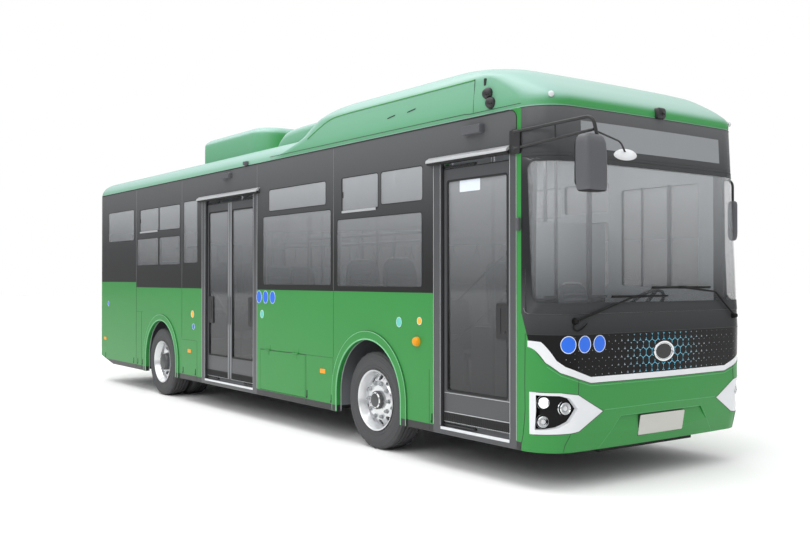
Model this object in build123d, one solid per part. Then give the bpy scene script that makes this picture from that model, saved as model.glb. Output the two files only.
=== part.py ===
# City bus of the 10.5 m class: low entry, two inward-gliding doors on the right,
# gas cylinders under a roof fairing and an air-conditioner pod behind it.
# Millimetres, X forward, Y to the bus's left, Z up from the road. Stations are
# written from the front axle and moved by FRAME_SHIFT when a piece is exported.
from build123d import *
import math
import os

# Overall size
BODY_LENGTH = 10500.0
BODY_WIDTH = 2550.0
FRONT_OVERHANG = 2540.0
WHEELBASE = 5380.0
MIRROR_REACH = 420.0          # kerb mirror ahead of the front face
BRACKET_X = 2086.0            # the mirrors' brackets
NOSE_X = FRONT_OVERHANG
REAR_X = NOSE_X - BODY_LENGTH
REAR_AXLE_X = -WHEELBASE
FRAME_SHIFT = -(REAR_X + NOSE_X + MIRROR_REACH) / 2
HALF_WIDTH = BODY_WIDTH / 2

# Body shell and its levels
SKIRT_Z = 307.0
FLOOR_TOP_Z = 371.0
FLOOR_T = 40.0
GUTTER_Z = 3040.0             # top of the dark band, foot of the roof
CEILING_Z = 3190.0
REAR_DECK_Z = 830.0
ENGINE_DECK_Z = 1210.0
WALL = 50.0
GLASS = 8.0
CORNER_R = 300.0
REAR_CORNER_R = 70.0
CROWN_SAG = 30.0              # bulge of the front in plan
FRONT_SPLIT_X = 2155.0        # the sides end and the front assembly starts
REAR_SPLIT_X = REAR_X + 110.0
PANEL_GAP = 5.0

# Side view of the front face: height, distance back from the nose
FRONT_LEAN = [(SKIRT_Z, 60.0), (450.0, 22.0), (632.0, 2.0), (847.0, 6.0), (1243.0, 0.0), (GUTTER_Z, 88.0)]

# Roof: height, inset from the body's outline
CEILING_STEPS = [(GUTTER_Z - 1, WALL), (3110.0, WALL + 30), (CEILING_Z, WALL + 110)]
ROOF_STEPS = [(GUTTER_Z, 0.0), (3110.0, 22.0), (3185.0, 85.0), (3240.0, 210.0), (3270.0, 480.0)]

# Wheels: 275/70 R22.5
TYRE_R = 478.5
TYRE_W = 276.0
RIM_R = 298.0
RIM_T = 12.0
BEAD_R = 285.0
FRONT_TYRE_FACE_Y = 1215.0
REAR_TYRE_FACE_Y = 1245.0
TWIN_PITCH = 310.0
SPINDLE_R = 45.0
BEARING_GAP = 0.3
HAND_HOLES = 10
KINGPIN_Y = 975.0
KINGPIN_R = 20.0

# Wheel arches and housings
ARCH_R = 560.0
ARCH_Z = 515.0
ARCH_X = {"front": -25.0, "rear": REAR_AXLE_X + 45.0}
FLARE_W = 85.0
FLARE_PROUD = 14.0
HOUSING_GAP = 30.0
HOUSING_T = 20.0
HOUSING_Y = 590.0
HOUSING_TOP_Z = ARCH_Z + ARCH_R + HOUSING_GAP + HOUSING_T

# Under-floor frame, towing sockets and the driver's podium
SEAM = 0.5                    # between the floor's separate mouldings
RAIL_Y = (350.0, 420.0)
RAIL_END_X = 2300.0
TOW_X = 2360.0
TOW_Y = 450.0
TOW_Z = 285.0
TOW_R = 18.0
TOW_L = 110.0
DRIVER_DECK = (900.0, 1950.0, 180.0)

# Doors: clear opening from x to x, and the columns that carry the leaves
DOOR_TOP_Z = 2690.0
HEADER_H = 70.0
FRONT_DOOR = (1123.0, 2019.0)
MID_DOOR = (-3832.0, -2471.0)
JAMB_W = 104.0
JAMB_PLATE_T = 22.0
JAMB_RETURN = 50.0
LEAF_T = 36.0
LEAF_RECESS = 30.0
LEAF_SIDE_GAP = 6.0
SILL_GAP = 41.0
ARM_T = 16.0
ARM_W = 38.0
ARM_GAP = 14.0
COLUMN_R = 18.0
COLUMN_BACK = 24.0            # column axis behind the edge of its jamb plate
PIN_R = 9.0
PIN_GAP = 0.3
GUIDE_BACK = 45.0             # guide roller line behind the leaf's leading edge
STILE_W = 52.0
LEAF_GLASS_Z = (690.0, 2533.0)
LEAF_Y = -(HALF_WIDTH - LEAF_RECESS - LEAF_T / 2)
LEAF_BOTTOM_Z = FLOOR_TOP_Z + SILL_GAP
LEAF_TOP_Z = DOOR_TOP_Z - SILL_GAP - 5
DRIP_RAIL_D = 18.0
DRIP_RAILS = {FRONT_DOOR: (972.0, 2038.0), MID_DOOR: (-3996.0, -2296.0)}

# Side glazing: x from, x to, z from, z to
RIGHT_WINDOWS = [
    (-508.0, 150.0, 2357.0, 2700.0), (201.0, 861.0, 2387.0, 2700.0), (-590.0, 850.0, 1597.0, 2279.0),
    (-2073.0, -815.0, 2453.0, 2700.0), (-2215.0, -715.0, 1605.0, 2395.0), (-4523.0, -4076.0, 1886.0, 2723.0),
    (-6176.0, -5437.0, 2371.0, 2705.0), (-5400.0, -4660.0, 2371.0, 2705.0),
    (-6276.0, -5454.0, 1873.0, 2269.0), (-5400.0, -4665.0, 1873.0, 2269.0),
    (-7562.0, -6428.0, 2264.0, 2733.0)]
LEFT_WINDOWS = [
    (1020.0, 1990.0, 1597.0, 2600.0),
    (-508.0, 150.0, 2357.0, 2700.0), (201.0, 861.0, 2387.0, 2700.0), (-590.0, 850.0, 1597.0, 2279.0),
    (-2073.0, -815.0, 2453.0, 2700.0), (-2215.0, -715.0, 1605.0, 2395.0),
    (-3915.0, -2465.0, 1605.0, 2395.0), (-3773.0, -2540.0, 2453.0, 2700.0),
    (-6176.0, -5437.0, 2371.0, 2705.0), (-5400.0, -4200.0, 2371.0, 2705.0),
    (-6276.0, -5454.0, 1873.0, 2269.0), (-5400.0, -4200.0, 1873.0, 2269.0),
    (-7562.0, -6428.0, 2264.0, 2733.0)]
WINDOW_R = 28.0

# Front elevation, right half mirrored to the left: y outwards, z
TRIM_LOW = [(0, 847), (870, 850), (1006, 889), (1150, 940), (1228, 1016), (1265, 1113), (1300, 1190)]
TRIM_UP = [(0, 895), (870, 897), (1006, 944), (1116, 986), (1173, 1033), (1215, 1117), (1247, 1178),
           (1300, 1190)]
HEADLAMP_FRAME = [(1300, 783), (1150, 785), (1007, 764), (735, 618), (987, 474), (1063, 464), (1300, 449)]
HEADLAMP_WELL = [(1262, 761), (1150, 761), (1078, 737), (1017, 656), (1079, 558), (1150, 513), (1206, 496),
                 (1262, 488)]
LAMP_DISCS = [(1229.0, 690.0, 52.0), (1195.0, 550.0, 48.0), (1095.0, 655.0, 50.0)]
LAMP_DEPTH = 30.0
TRIM_END_X = 2226.0
HEADLAMP_END_X = 2244.0
WINDSCREEN_Z = (1395.0, 2640.0)
WINDSCREEN_VIEW_Z = (1481.0, 2600.0)
WINDSCREEN_END_X = 2200.0
PILLAR_END_X = 2262.0
DESTINATION = (899.0, 2719.0, 2935.0)
WIPER_PIVOTS = [(-1040.0, 1340.0), (1000.0, 1340.0)]
SPINDLE_HOLE_R = 16.0

# Rear
LID_HALF_W = 900.0
LID_Z = (470.0, 1480.0)
REAR_WINDOW = (820.0, 1950.0, 2640.0)
TAIL_LAMPS = [(1085.0, 1400.0, 62.0), (1085.0, 1240.0, 62.0), (1085.0, 1080.0, 62.0), (1085.0, 2920.0, 40.0)]
HINGE_R = 8.0
HINGE_PIN_R = 4.0
HINGE_OUT = 10.0

# Service flap in the right skirt: x from, x to
FLAP = (-2290.0, -1240.0)
FLAP_Z = (SKIRT_Z + 72.0, 850.0)

# Roof fairing in plan: height, rear end, front end, half width, front and rear corner radius
FAIRING = [(GUTTER_Z + 14, -2080.0, 2451.0, 1274.0, 301.0, 60.0),
           (3128.0, -1800.0, 2440.0, 1274.0, 300.0, 200.0),
           (3214.0, -1620.0, 2340.0, 1268.0, 310.0, 400.0), (3348.0, -1390.0, 2110.0, 1250.0, 330.0, 450.0),
           (3400.0, -1290.0, 1985.0, 1230.0, 345.0, 450.0), (3450.0, -1110.0, 1835.0, 1185.0, 360.0, 420.0),
           (3490.0, -900.0, 1640.0, 1115.0, 380.0, 400.0), (3515.0, -700.0, 1400.0, 1010.0, 400.0, 380.0),
           (3530.0, -500.0, 1100.0, 850.0, 360.0, 340.0)]
FAIRING_T = 40.0
HUMP_SIDE = [(-2450.0, 3230.0), (-2380.0, 3340.0), (-2150.0, 3440.0), (-1300.0, 3465.0)]
HUMP_HALF_W = 1000.0
HUMP_SECTION = [(1000.0, 3380.0), (965.0, 3430.0), (890.0, 3458.0)]
POD = [(3140.0, -4610.0, -2840.0, 960.0, 300.0, 90.0), (3500.0, -4610.0, -2850.0, 958.0, 300.0, 90.0),
       (3565.0, -4590.0, -2880.0, 935.0, 280.0, 80.0), (3600.0, -4540.0, -2930.0, 885.0, 250.0, 60.0),
       (3615.0, -4440.0, -3030.0, 760.0, 200.0, 60.0)]

# Cabin
SEAT_W = 440.0
SEAT_D = 430.0
SEAT_T = 80.0
SEAT_H = 430.0
BACK_H = 640.0
BACK_T = 60.0
POLE_R = 17.5
DRIVER_X = 1150.0
DRIVER_Y = 640.0
PODIUM_Z = 620.0
STEERING_R = 225.0
STEERING_RIM_R = 17.0
# Seats: x, y, floor under them
SEATS = [(x, y, HOUSING_TOP_Z) for x in (-4980.0, -5700.0) for y in (-1000.0, -560.0, 560.0, 1000.0)]
SEATS += [(x, y, HOUSING_TOP_Z) for x in (-330.0, 330.0) for y in (-960.0, 960.0)]
SEATS += [(x, y, FLOOR_TOP_Z) for x in (-1150.0, -1850.0) for y in (-990.0, 550.0, 990.0)]
SEATS += [(-6800.0, y, ENGINE_DECK_Z) for y in (-980.0, -500.0, 0.0, 500.0, 980.0)]

# Upright poles: x, y, foot; and overhead rails: y, from x, to x, x of their hangers
POLES = [(860.0, -420.0, FLOOR_TOP_Z), (-700.0, -700.0, FLOOR_TOP_Z), (-2250.0, -640.0, FLOOR_TOP_Z),
         (-2250.0, 640.0, FLOOR_TOP_Z), (-3150.0, 300.0, FLOOR_TOP_Z), (-4050.0, -640.0, FLOOR_TOP_Z),
         (-4050.0, 640.0, FLOOR_TOP_Z), (-5380.0, -540.0, REAR_DECK_Z), (-5380.0, 540.0, REAR_DECK_Z),
         (650.0, 480.0, FLOOR_TOP_Z)]
RAIL_Z = 2150.0
RAILS = [(640.0, -6300.0, 600.0, (-6200.0, -3150.0, 500.0)), (-640.0, -6300.0, -4050.0, (-6200.0,)),
         (-640.0, -2250.0, 600.0, (500.0,))]

os.makedirs("parts", exist_ok=True)


def save(name, shape):
    """Move a piece to the bus's own origin and write it."""
    export_step(Pos(FRAME_SHIFT, 0, 0) * shape, "parts/" + name + ".step")
    print(name, len(shape.solids()), round(shape.volume / 1e9, 5))


def box(x0, x1, y0, y1, z0, z1):
    """A box between two corners."""
    return Pos((x0 + x1) / 2, (y0 + y1) / 2, (z0 + z1) / 2) * Box(abs(x1 - x0), abs(y1 - y0), abs(z1 - z0))


def rod(x, y, z0, z1, r):
    """An upright cylinder."""
    return Pos(x, y, (z0 + z1) / 2) * Cylinder(r, abs(z1 - z0))


def rod_y(x, z, y0, y1, r):
    """A cylinder across the bus."""
    return Pos(x, (y0 + y1) / 2, z) * (Rot(90, 0, 0) * Cylinder(r, abs(y1 - y0)))


def rod_x(y, z, x0, x1, r):
    """A cylinder along the bus."""
    return Pos((x0 + x1) / 2, y, z) * (Rot(0, 90, 0) * Cylinder(r, abs(x1 - x0)))


def strut(p, q, r):
    """A round bar from one point to another."""
    a = Vector(*p)
    b = Vector(*q)
    return Plane(origin=a, z_dir=b - a) * extrude(Circle(r), (b - a).length)


def bent_bar(points, r):
    """A round bar through several points, with a ball at each bend."""
    bars = [strut(p, q, r) for p, q in zip(points, points[1:])]
    balls = [Pos(*p) * Sphere(r) for p in points[1:-1]]
    shape = bars[0]
    for piece in balls + bars[1:]:
        shape = shape + piece
    return shape


def side_prism(points, y0, y1):
    """A polygon in side view (x, z), from y0 to y1."""
    lo = min(y0, y1)
    face = make_face(Plane.XZ.offset(-lo) * Polyline(*points, close=True))
    return extrude(face, abs(y1 - y0), dir=(0, 1, 0))


def front_prism(points, x0=1500.0, x1=NOSE_X + 100):
    """A polygon in front elevation (y, z), from x0 to x1."""
    face = make_face(Plane.YZ.offset(x0) * Polyline(*points, close=True))
    return extrude(face, x1 - x0, dir=(1, 0, 0))


def cross_prism(points, x0, x1):
    """A mirrored half outline (y, z) swept along the bus."""
    outline = list(points) + [(-y, z) for y, z in reversed(points) if y > 0]
    return front_prism(outline, x0, x1)


def nose_x(z):
    """x of the front face at a height."""
    for (z0, b0), (z1, b1) in zip(FRONT_LEAN, FRONT_LEAN[1:]):
        if z <= z1:
            return NOSE_X - (b0 + (b1 - b0) * (z - z0) / (z1 - z0))
    return NOSE_X - FRONT_LEAN[-1][1]


def plan_face(z, inset, front_x=None):
    """The body's outline in plan at a height, moved inwards."""
    hw = HALF_WIDTH - inset
    xf = (nose_x(z) if front_x is None else front_x) - inset
    xr = REAR_X + inset
    face = make_face([
        Line((xr, hw), (xr, -hw)), Line((xr, -hw), (xf - CROWN_SAG, -hw)),
        ThreePointArc((xf - CROWN_SAG, -hw), (xf, 0), (xf - CROWN_SAG, hw)),
        Line((xf - CROWN_SAG, hw), (xr, hw))])
    face = fillet(face.vertices().sort_by(Axis.X)[-2:], max(CORNER_R - inset, 80.0))
    face = fillet(face.vertices().sort_by(Axis.X)[:2], max(REAR_CORNER_R - inset, 15.0))
    return Pos(0, 0, z) * face


def body_solid(inset):
    """The body below the gutter, moved inwards."""
    return loft([plan_face(z, inset) for z, _ in FRONT_LEAN], ruled=True)


outer = body_solid(0.0)
inner = body_solid(WALL)
skin = outer - inner
glass_skin = outer - body_solid(GLASS)
print("shell", round(skin.volume / 1e9, 3))

# Sides
FAR = HALF_WIDTH + 80


def side_box(x0, x1, z0, z1, side, depth=120.0):
    """A block through one side wall."""
    return box(x0, x1, side * FAR, side * (HALF_WIDTH - depth), z0, z1)


def window_prism(x0, x1, z0, z1, side, depth=120.0):
    """A rounded window opening through one side wall."""
    block = side_box(x0, x1, z0, z1, side, depth)
    return fillet(block.edges().filter_by(Axis.Y), WINDOW_R)


def arch_prism(x, r, side, y_in):
    """A wheel arch open to the road, from the side in to y_in."""
    top = rod_y(x, ARCH_Z, side * FAR, side * y_in, r)
    return top + box(x - r, x + r, side * FAR, side * y_in, -10, ARCH_Z)


def portal(door):
    """The hole that a door frame fills: x from, x to."""
    return door[0] - JAMB_W, door[1] + (JAMB_W if door is MID_DOOR else 82.0)


def hinge_pair(place):
    """A butt hinge: local x along its pin, y outwards, z up, HINGE_OUT off the panel."""
    fixed = box(-60, 60, -HINGE_OUT, -HINGE_OUT + 2, HINGE_R + 1, 60)
    for a, b in ((-60, -21), (21, 60)):
        fixed = fixed + rod_x(0, 0, a, b, HINGE_R) + box(a, b, -HINGE_OUT, 0, HINGE_R - 3, HINGE_R + 3)
    fixed = fixed + rod_x(0, 0, -60, 60, HINGE_PIN_R)
    moving = box(-20, 20, -HINGE_OUT, -HINGE_OUT + 2, -60, -PANEL_GAP - 1) + rod_x(0, 0, -20, 20, HINGE_R)
    moving = moving + box(-20, 20, -HINGE_OUT, 0, -HINGE_R - 4, -HINGE_R + 1)
    moving = moving - rod_x(0, 0, -21, 21, HINGE_PIN_R + BEARING_GAP)
    return place * fixed, place * moving


windows = {-1: RIGHT_WINDOWS, 1: LEFT_WINDOWS}
side_names = {-1: "right", 1: "left"}
panes = []
flap_hinges = []
for side in (-1, 1):
    zone = side_box(REAR_SPLIT_X, FRONT_SPLIT_X, SKIRT_Z, GUTTER_Z, side)
    wall = skin & zone
    for w in windows[side]:
        hole = window_prism(*w, side)
        panes.append(glass_skin & hole)
        wall = wall - hole
    for place in ("front", "rear"):
        x = ARCH_X[place]
        wall = wall - arch_prism(x, ARCH_R, side, HALF_WIDTH - 120)
        y_in = side * (HALF_WIDTH - WALL)
        y_out = side * (HALF_WIDTH + FLARE_PROUD)
        ring = rod_y(x, ARCH_Z, y_in, y_out, ARCH_R + FLARE_W)
        ring = ring + box(x - ARCH_R - FLARE_W, x + ARCH_R + FLARE_W, y_in, y_out, SKIRT_Z, ARCH_Z)
        ring = ring - arch_prism(x, ARCH_R, side, HALF_WIDTH - 120)
        ring = ring & box(x - 900, x + 900, -FAR, FAR, SKIRT_Z, 2000)
        wall = wall + ring
    if side < 0:
        for door in (FRONT_DOOR, MID_DOOR):
            x0, x1 = portal(door)
            wall = wall - side_box(x0, x1, SKIRT_Z - 5, DOOR_TOP_Z + HEADER_H, side)
        wall = wall - side_box(FLAP[0], FLAP[1], FLAP_Z[0], FLAP_Z[1], side)
        for x in (FLAP[0] + 200, FLAP[1] - 200):
            pin = (x, -(HALF_WIDTH + HINGE_OUT), FLAP_Z[1])
            place = Plane(origin=pin, x_dir=(-1, 0, 0), z_dir=(0, 0, 1))
            fixed, moving = hinge_pair(place)
            wall = wall + fixed
            flap_hinges.append(moving)
    # the skirt rises behind the rear wheels
    rise = side_prism([(REAR_X - 10, SKIRT_Z - 10), (REAR_X - 10, 412), (-7883, 412), (-7349, SKIRT_Z),
                       (-7349, SKIRT_Z - 10)], -FAR, FAR)
    wall = wall - rise
    save("side_wall_" + side_names[side], wall)

# Door frames: jamb plates, returns, header, sill and drip rail
frames = []
for door in (FRONT_DOOR, MID_DOOR):
    x0, x1 = portal(door)
    filled = skin & side_box(x0, x1, SKIRT_Z, DOOR_TOP_Z + HEADER_H, -1)
    clear = side_box(door[0], door[1], FLOOR_TOP_Z, DOOR_TOP_Z, -1)
    x_end = x1 - JAMB_RETURN + (0 if door is MID_DOOR else 20)
    pocket = box(x0 + JAMB_RETURN, x_end, -(HALF_WIDTH - JAMB_PLATE_T), -(HALF_WIDTH - 120), FLOOR_TOP_Z,
                 DOOR_TOP_Z)
    frame = filled - clear - pocket
    r0, r1 = DRIP_RAILS[door]
    rail = box(r0, r1, -(HALF_WIDTH + DRIP_RAIL_D), -HALF_WIDTH, DOOR_TOP_Z + 5, DOOR_TOP_Z + 48)
    frames.append(frame + rail)
save("door_frames", frames[0] + frames[1])


def door_leaf(x_col, x_lead):
    """Leaf, its glass and its arm, for a column at x_col and a leading edge at x_lead."""
    way = 1.0 if x_lead > x_col else -1.0
    x_trail = x_col + way * (COLUMN_R + 12)
    x_guide = x_lead - way * GUIDE_BACK
    x_pin = (x_col + x_guide) / 2
    lo = min(x_trail, x_lead)
    hi = max(x_trail, x_lead)
    y0 = LEAF_Y - LEAF_T / 2
    y1 = LEAF_Y + LEAF_T / 2
    panel = box(lo, hi, y0, y1, LEAF_BOTTOM_Z, LEAF_TOP_Z)
    hole = box(lo + STILE_W, hi - STILE_W, y0 - 10, y1 + 10, LEAF_GLASS_Z[0], LEAF_GLASS_Z[1])
    hole = fillet(hole.edges().filter_by(Axis.Y), 22)
    pane = hole & box(lo, hi, LEAF_Y - 6, LEAF_Y + 2, 0, 3000)
    low_arm_z = (LEAF_BOTTOM_Z - ARM_GAP - ARM_T / 2, -1)
    high_arm_z = (LEAF_TOP_Z + ARM_GAP + ARM_T / 2 - 6, 1)
    leaf = panel - hole
    arm = rod(x_col, LEAF_Y, FLOOR_TOP_Z + 0.3, DOOR_TOP_Z - 0.3, COLUMN_R)
    for z, up in (low_arm_z, high_arm_z):
        outline = SlotCenterToCenter(abs(x_pin - x_col), ARM_W)
        arm = arm + extrude(Pos((x_col + x_pin) / 2, LEAF_Y, z - ARM_T / 2) * outline, ARM_T, dir=(0, 0, 1))
        edge = LEAF_BOTTOM_Z if up < 0 else LEAF_TOP_Z
        leaf = leaf + rod(x_pin, LEAF_Y, z + up * ARM_T / 2, edge, PIN_R)
    for z, up in (low_arm_z, high_arm_z):
        arm = arm - rod(x_pin, LEAF_Y, z - ARM_T, z + ARM_T, PIN_R + PIN_GAP)
    # pull handle by the leading edge
    x_bar = x_lead - way * STILE_W / 2
    for z in (1120.0, 1430.0):
        leaf = leaf + box(x_bar - 9, x_bar + 9, y0 - 5, y0, z - 9, z + 9)
    leaf = leaf + box(x_bar - 9, x_bar + 9, y0 - 11, y0 - 5, 1100, 1450)
    return leaf, pane, arm


middle = (MID_DOOR[0] + MID_DOOR[1]) / 2
leaves = [("front", FRONT_DOOR[0] - COLUMN_BACK, FRONT_DOOR[1] - LEAF_SIDE_GAP),
          ("mid_rear", MID_DOOR[0] - COLUMN_BACK, middle - LEAF_SIDE_GAP),
          ("mid_fore", MID_DOOR[1] + COLUMN_BACK, middle + LEAF_SIDE_GAP)]
for name, x_col, x_lead in leaves:
    leaf, pane, arm = door_leaf(x_col, x_lead)
    save("door_leaf_" + name, leaf)
    save("door_glass_" + name, pane)
    save("door_arm_" + name, arm)

# Service flap with its hinge
flap_x = (FLAP[0] + PANEL_GAP, FLAP[1] - PANEL_GAP)
flap_z = (FLAP_Z[0] + PANEL_GAP, FLAP_Z[1] - PANEL_GAP)
flap = skin & side_box(flap_x[0], flap_x[1], flap_z[0], flap_z[1], -1)
flap = flap & box(FLAP[0], FLAP[1], -HALF_WIDTH, -(HALF_WIDTH - 22), 0, 1000)
for moving in flap_hinges:
    flap = flap + moving
save("service_flap", flap)

# Front assembly
front_zone = skin & box(FRONT_SPLIT_X, NOSE_X + 50, -FAR, FAR, SKIRT_Z, GUTTER_Z)

def elevation(points):
    """A closed outline in front elevation and its mirror image."""
    right = front_prism([(-y, z) for y, z in points], FRONT_SPLIT_X, NOSE_X + 50)
    return right + mirror(right, Plane.XZ)


band = elevation(TRIM_LOW + list(reversed(TRIM_UP))[1:]) & box(TRIM_END_X, NOSE_X + 50, -FAR, FAR, 0, 2000)
below = elevation(TRIM_LOW + [(1320, 1190), (1320, 200), (0, 200)])
below = below + box(FRONT_SPLIT_X - 5, TRIM_END_X, -FAR, FAR, 200, 1190)
corner = side_prism([(FRONT_SPLIT_X - 5, 1185), (2235, 1185), (2176, 1345), (2160, WINDSCREEN_Z[0]),
                     (FRONT_SPLIT_X - 5, WINDSCREEN_Z[0])], -FAR, FAR)
frame_prism = elevation(HEADLAMP_FRAME) & box(HEADLAMP_END_X, NOSE_X + 50, -FAR, FAR, 0, 2000)
well = elevation(HEADLAMP_WELL) & box(HEADLAMP_END_X + 30, NOSE_X + 50, -FAR, FAR, 0, 2000)
recess = front_prism([(-518, 561), (-736, 280), (736, 280), (518, 561)], nose_x(500.0) - 14, NOSE_X + 50)
lower = front_zone & box(FRONT_SPLIT_X, NOSE_X + 50, -FAR, FAR, 0, WINDSCREEN_Z[0])
trim = front_zone & band
rest = lower - band
grille = rest - below - corner
bumper = rest - grille - frame_prism - recess
lamp_frames = (front_zone & frame_prism) - well
for y, z in WIPER_PIVOTS:
    grille = grille - rod_x(y, z, FRONT_SPLIT_X, NOSE_X, SPINDLE_HOLE_R)
save("front_bumper", bumper)
save("front_trim", trim + lamp_frames)
save("grille_panel", grille.fix())

ws_zone = box(WINDSCREEN_END_X, NOSE_X + 50, -FAR, FAR, WINDSCREEN_Z[0], WINDSCREEN_Z[1])
dest_zone = box(2300, NOSE_X + 50, -DESTINATION[0], DESTINATION[0], DESTINATION[1], DESTINATION[2])
windscreen = glass_skin & ws_zone
destination = glass_skin & dest_zone
view = box(PILLAR_END_X, NOSE_X + 50, -FAR, FAR, WINDSCREEN_VIEW_Z[0], WINDSCREEN_VIEW_Z[1])
mask = front_zone & box(FRONT_SPLIT_X, NOSE_X + 50, -FAR, FAR, WINDSCREEN_Z[0], GUTTER_Z)
mask = mask - windscreen - dest_zone - view
save("front_mask", mask)
save("front_glass", windscreen + destination)

# Lamps: head lamp wells behind the skin, and tail lamps
backs = []
for side in (-1, 1):
    back = (body_solid(LAMP_DEPTH) - inner) & well & box(0, NOSE_X, 0, side * 1300, 0, 1000)
    for y, z, r in LAMP_DISCS:
        lens = rod_x(side * y, z, 2100, NOSE_X, r) & (body_solid(6.0) - body_solid(LAMP_DEPTH + 1))
        lens = (lens & well) & box(2150, NOSE_X, 0, side * 1300, 0, 1000)
        back = back + lens
    backs.append(back)

# Rear
rear_zone = skin & box(REAR_X - 10, REAR_SPLIT_X, -FAR, FAR, 412, GUTTER_Z)
lid_hole = box(REAR_X - 20, REAR_SPLIT_X - 40, -LID_HALF_W, LID_HALF_W, LID_Z[0], LID_Z[1])
half_w, window_low, window_high = REAR_WINDOW
window_hole = box(REAR_X - 20, REAR_SPLIT_X - 40, -half_w, half_w, window_low, window_high)
window_hole = fillet(window_hole.edges().filter_by(Axis.X), 60)
rear_wall = rear_zone - lid_hole - window_hole
lid = skin & box(REAR_X - 20, REAR_SPLIT_X - 40, -LID_HALF_W + PANEL_GAP, LID_HALF_W - PANEL_GAP,
                 LID_Z[0] + PANEL_GAP, LID_Z[1] - PANEL_GAP)
panes.append(glass_skin & window_hole)
for side in (-1, 1):
    for y, z, r in TAIL_LAMPS:
        lamp = rod_x(side * y, z, REAR_X - 12, REAR_X + 12, r)
        backs.append(lamp)
        rear_wall = rear_wall - rod_x(side * y, z, REAR_X - 20, REAR_X + 12, r)
for y in (-600.0, 600.0):
    place = Plane(origin=(REAR_X - HINGE_OUT, y, LID_Z[1]), x_dir=(0, 1, 0), z_dir=(0, 0, 1))
    fixed, moving = hinge_pair(place)
    rear_wall = rear_wall + fixed
    lid = lid + moving
save("rear_wall", rear_wall)
save("engine_lid", lid)
save("lamps", Compound(children=[s for b in backs for s in b.solids()]))
save("body_windows", Compound(children=[s for p in panes for s in p.solids()]))

# Roof
roof_top = loft([plan_face(z, i, nose_x(GUTTER_Z)) for z, i in ROOF_STEPS], ruled=True)
roof_void = loft([plan_face(z, i, nose_x(GUTTER_Z)) for z, i in CEILING_STEPS], ruled=True)
save("roof_shell", roof_top - roof_void)


def housing_face(z, x0, x1, hw, front_r, rear_r, inset=0.0):
    """The plan outline of a roof housing, moved inwards."""
    w = hw - inset
    xf = x1 - inset
    xr = x0 + inset
    face = make_face([
        Line((xr, w), (xr, -w)), Line((xr, -w), (xf - CROWN_SAG, -w)),
        ThreePointArc((xf - CROWN_SAG, -w), (xf, 0), (xf - CROWN_SAG, w)),
        Line((xf - CROWN_SAG, w), (xr, w))])
    face = fillet(face.vertices().sort_by(Axis.X)[-2:], max(front_r - inset, 30.0))
    face = fillet(face.vertices().sort_by(Axis.X)[:2], max(rear_r - inset, 15.0))
    return Pos(0, 0, z) * face


fairing = loft([housing_face(*row) for row in FAIRING], ruled=True)
hollow = loft([housing_face(row[0] - (25 if row[0] > 3400 else 0), *row[1:], inset=FAIRING_T)
               for row in FAIRING[1:]], ruled=True)
hump_foot = [(HUMP_SIDE[-1][0], 3100.0), (HUMP_SIDE[0][0], 3100.0)]
hump = side_prism(HUMP_SIDE + hump_foot, -HUMP_HALF_W, HUMP_HALF_W)
hump = hump & cross_prism([(HUMP_HALF_W, GUTTER_Z)] + HUMP_SECTION + [(0.0, 3466.0)], -3000, 0)
fairing = fairing + hump - hollow - roof_top
save("roof_fairing", fairing)
pod = loft([housing_face(*row) for row in POD], ruled=True) - roof_top
save("roof_pod", pod)

# Floor, wheel housings and underframe

def housing(place, side, grow, y_in, z_low):
    """A wheel box grown by a distance, from its inner wall to the side wall."""
    r = ARCH_R + HOUSING_GAP + grow
    x = ARCH_X[place]
    return box(x - r, x + r, side * y_in, side * (HALF_WIDTH - WALL), z_low, ARCH_Z + r)


low_floor_z = FLOOR_TOP_Z - FLOOR_T
deck_under_z = REAR_DECK_Z - FLOOR_T
axle_slot = box(REAR_AXLE_X - 130, REAR_AXLE_X + 130, -HOUSING_Y - 10, HOUSING_Y + 10, 0, 640)
around = None
for side in (-1, 1):
    for place in ("front", "rear"):
        room = housing(place, side, HOUSING_T + SEAM, HOUSING_Y - HOUSING_T - SEAM, low_floor_z - 10)
        around = room if around is None else around + room
# low floor with the front rails and the towing beam
floor = box(-4500, NOSE_X, -FAR, FAR, low_floor_z, FLOOR_TOP_Z) & inner
for side in (-1, 1):
    floor = floor + box(-4500, RAIL_END_X, side * RAIL_Y[0], side * RAIL_Y[1], 315, low_floor_z)
floor = floor + box(TOW_X - TOW_L, TOW_X, -600, 600, TOW_Z - 32, low_floor_z)
floor = floor - around
for side in (-1, 1):
    floor = floor - rod_x(side * TOW_Y, TOW_Z, TOW_X - TOW_L, TOW_X, TOW_R)
# rear deck with its riser and step, then the engine deck on it
deck = box(REAR_X, -4460, -FAR, FAR, deck_under_z, REAR_DECK_Z)
deck = deck + box(-4500 + SEAM, -4460, -FAR, FAR, FLOOR_TOP_Z + SEAM, REAR_DECK_Z)
deck = deck + box(-4460, -4160, -HOUSING_Y + 40, HOUSING_Y - 40, FLOOR_TOP_Z + SEAM, FLOOR_TOP_Z + 230)
deck = deck - box(REAR_X, -6350, -HOUSING_Y, HOUSING_Y, deck_under_z - 1, REAR_DECK_Z + 1)
deck = (deck & inner) - around - axle_slot
upper = box(REAR_X, -6350, -FAR, FAR, ENGINE_DECK_Z - FLOOR_T, ENGINE_DECK_Z)
upper = upper + box(-6350, -6310, -FAR, FAR, REAR_DECK_Z + SEAM, ENGINE_DECK_Z)
upper = (upper & inner) - box(REAR_X, REAR_X + WALL + 12, -LID_HALF_W, LID_HALF_W, LID_Z[0], LID_Z[1])
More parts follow.
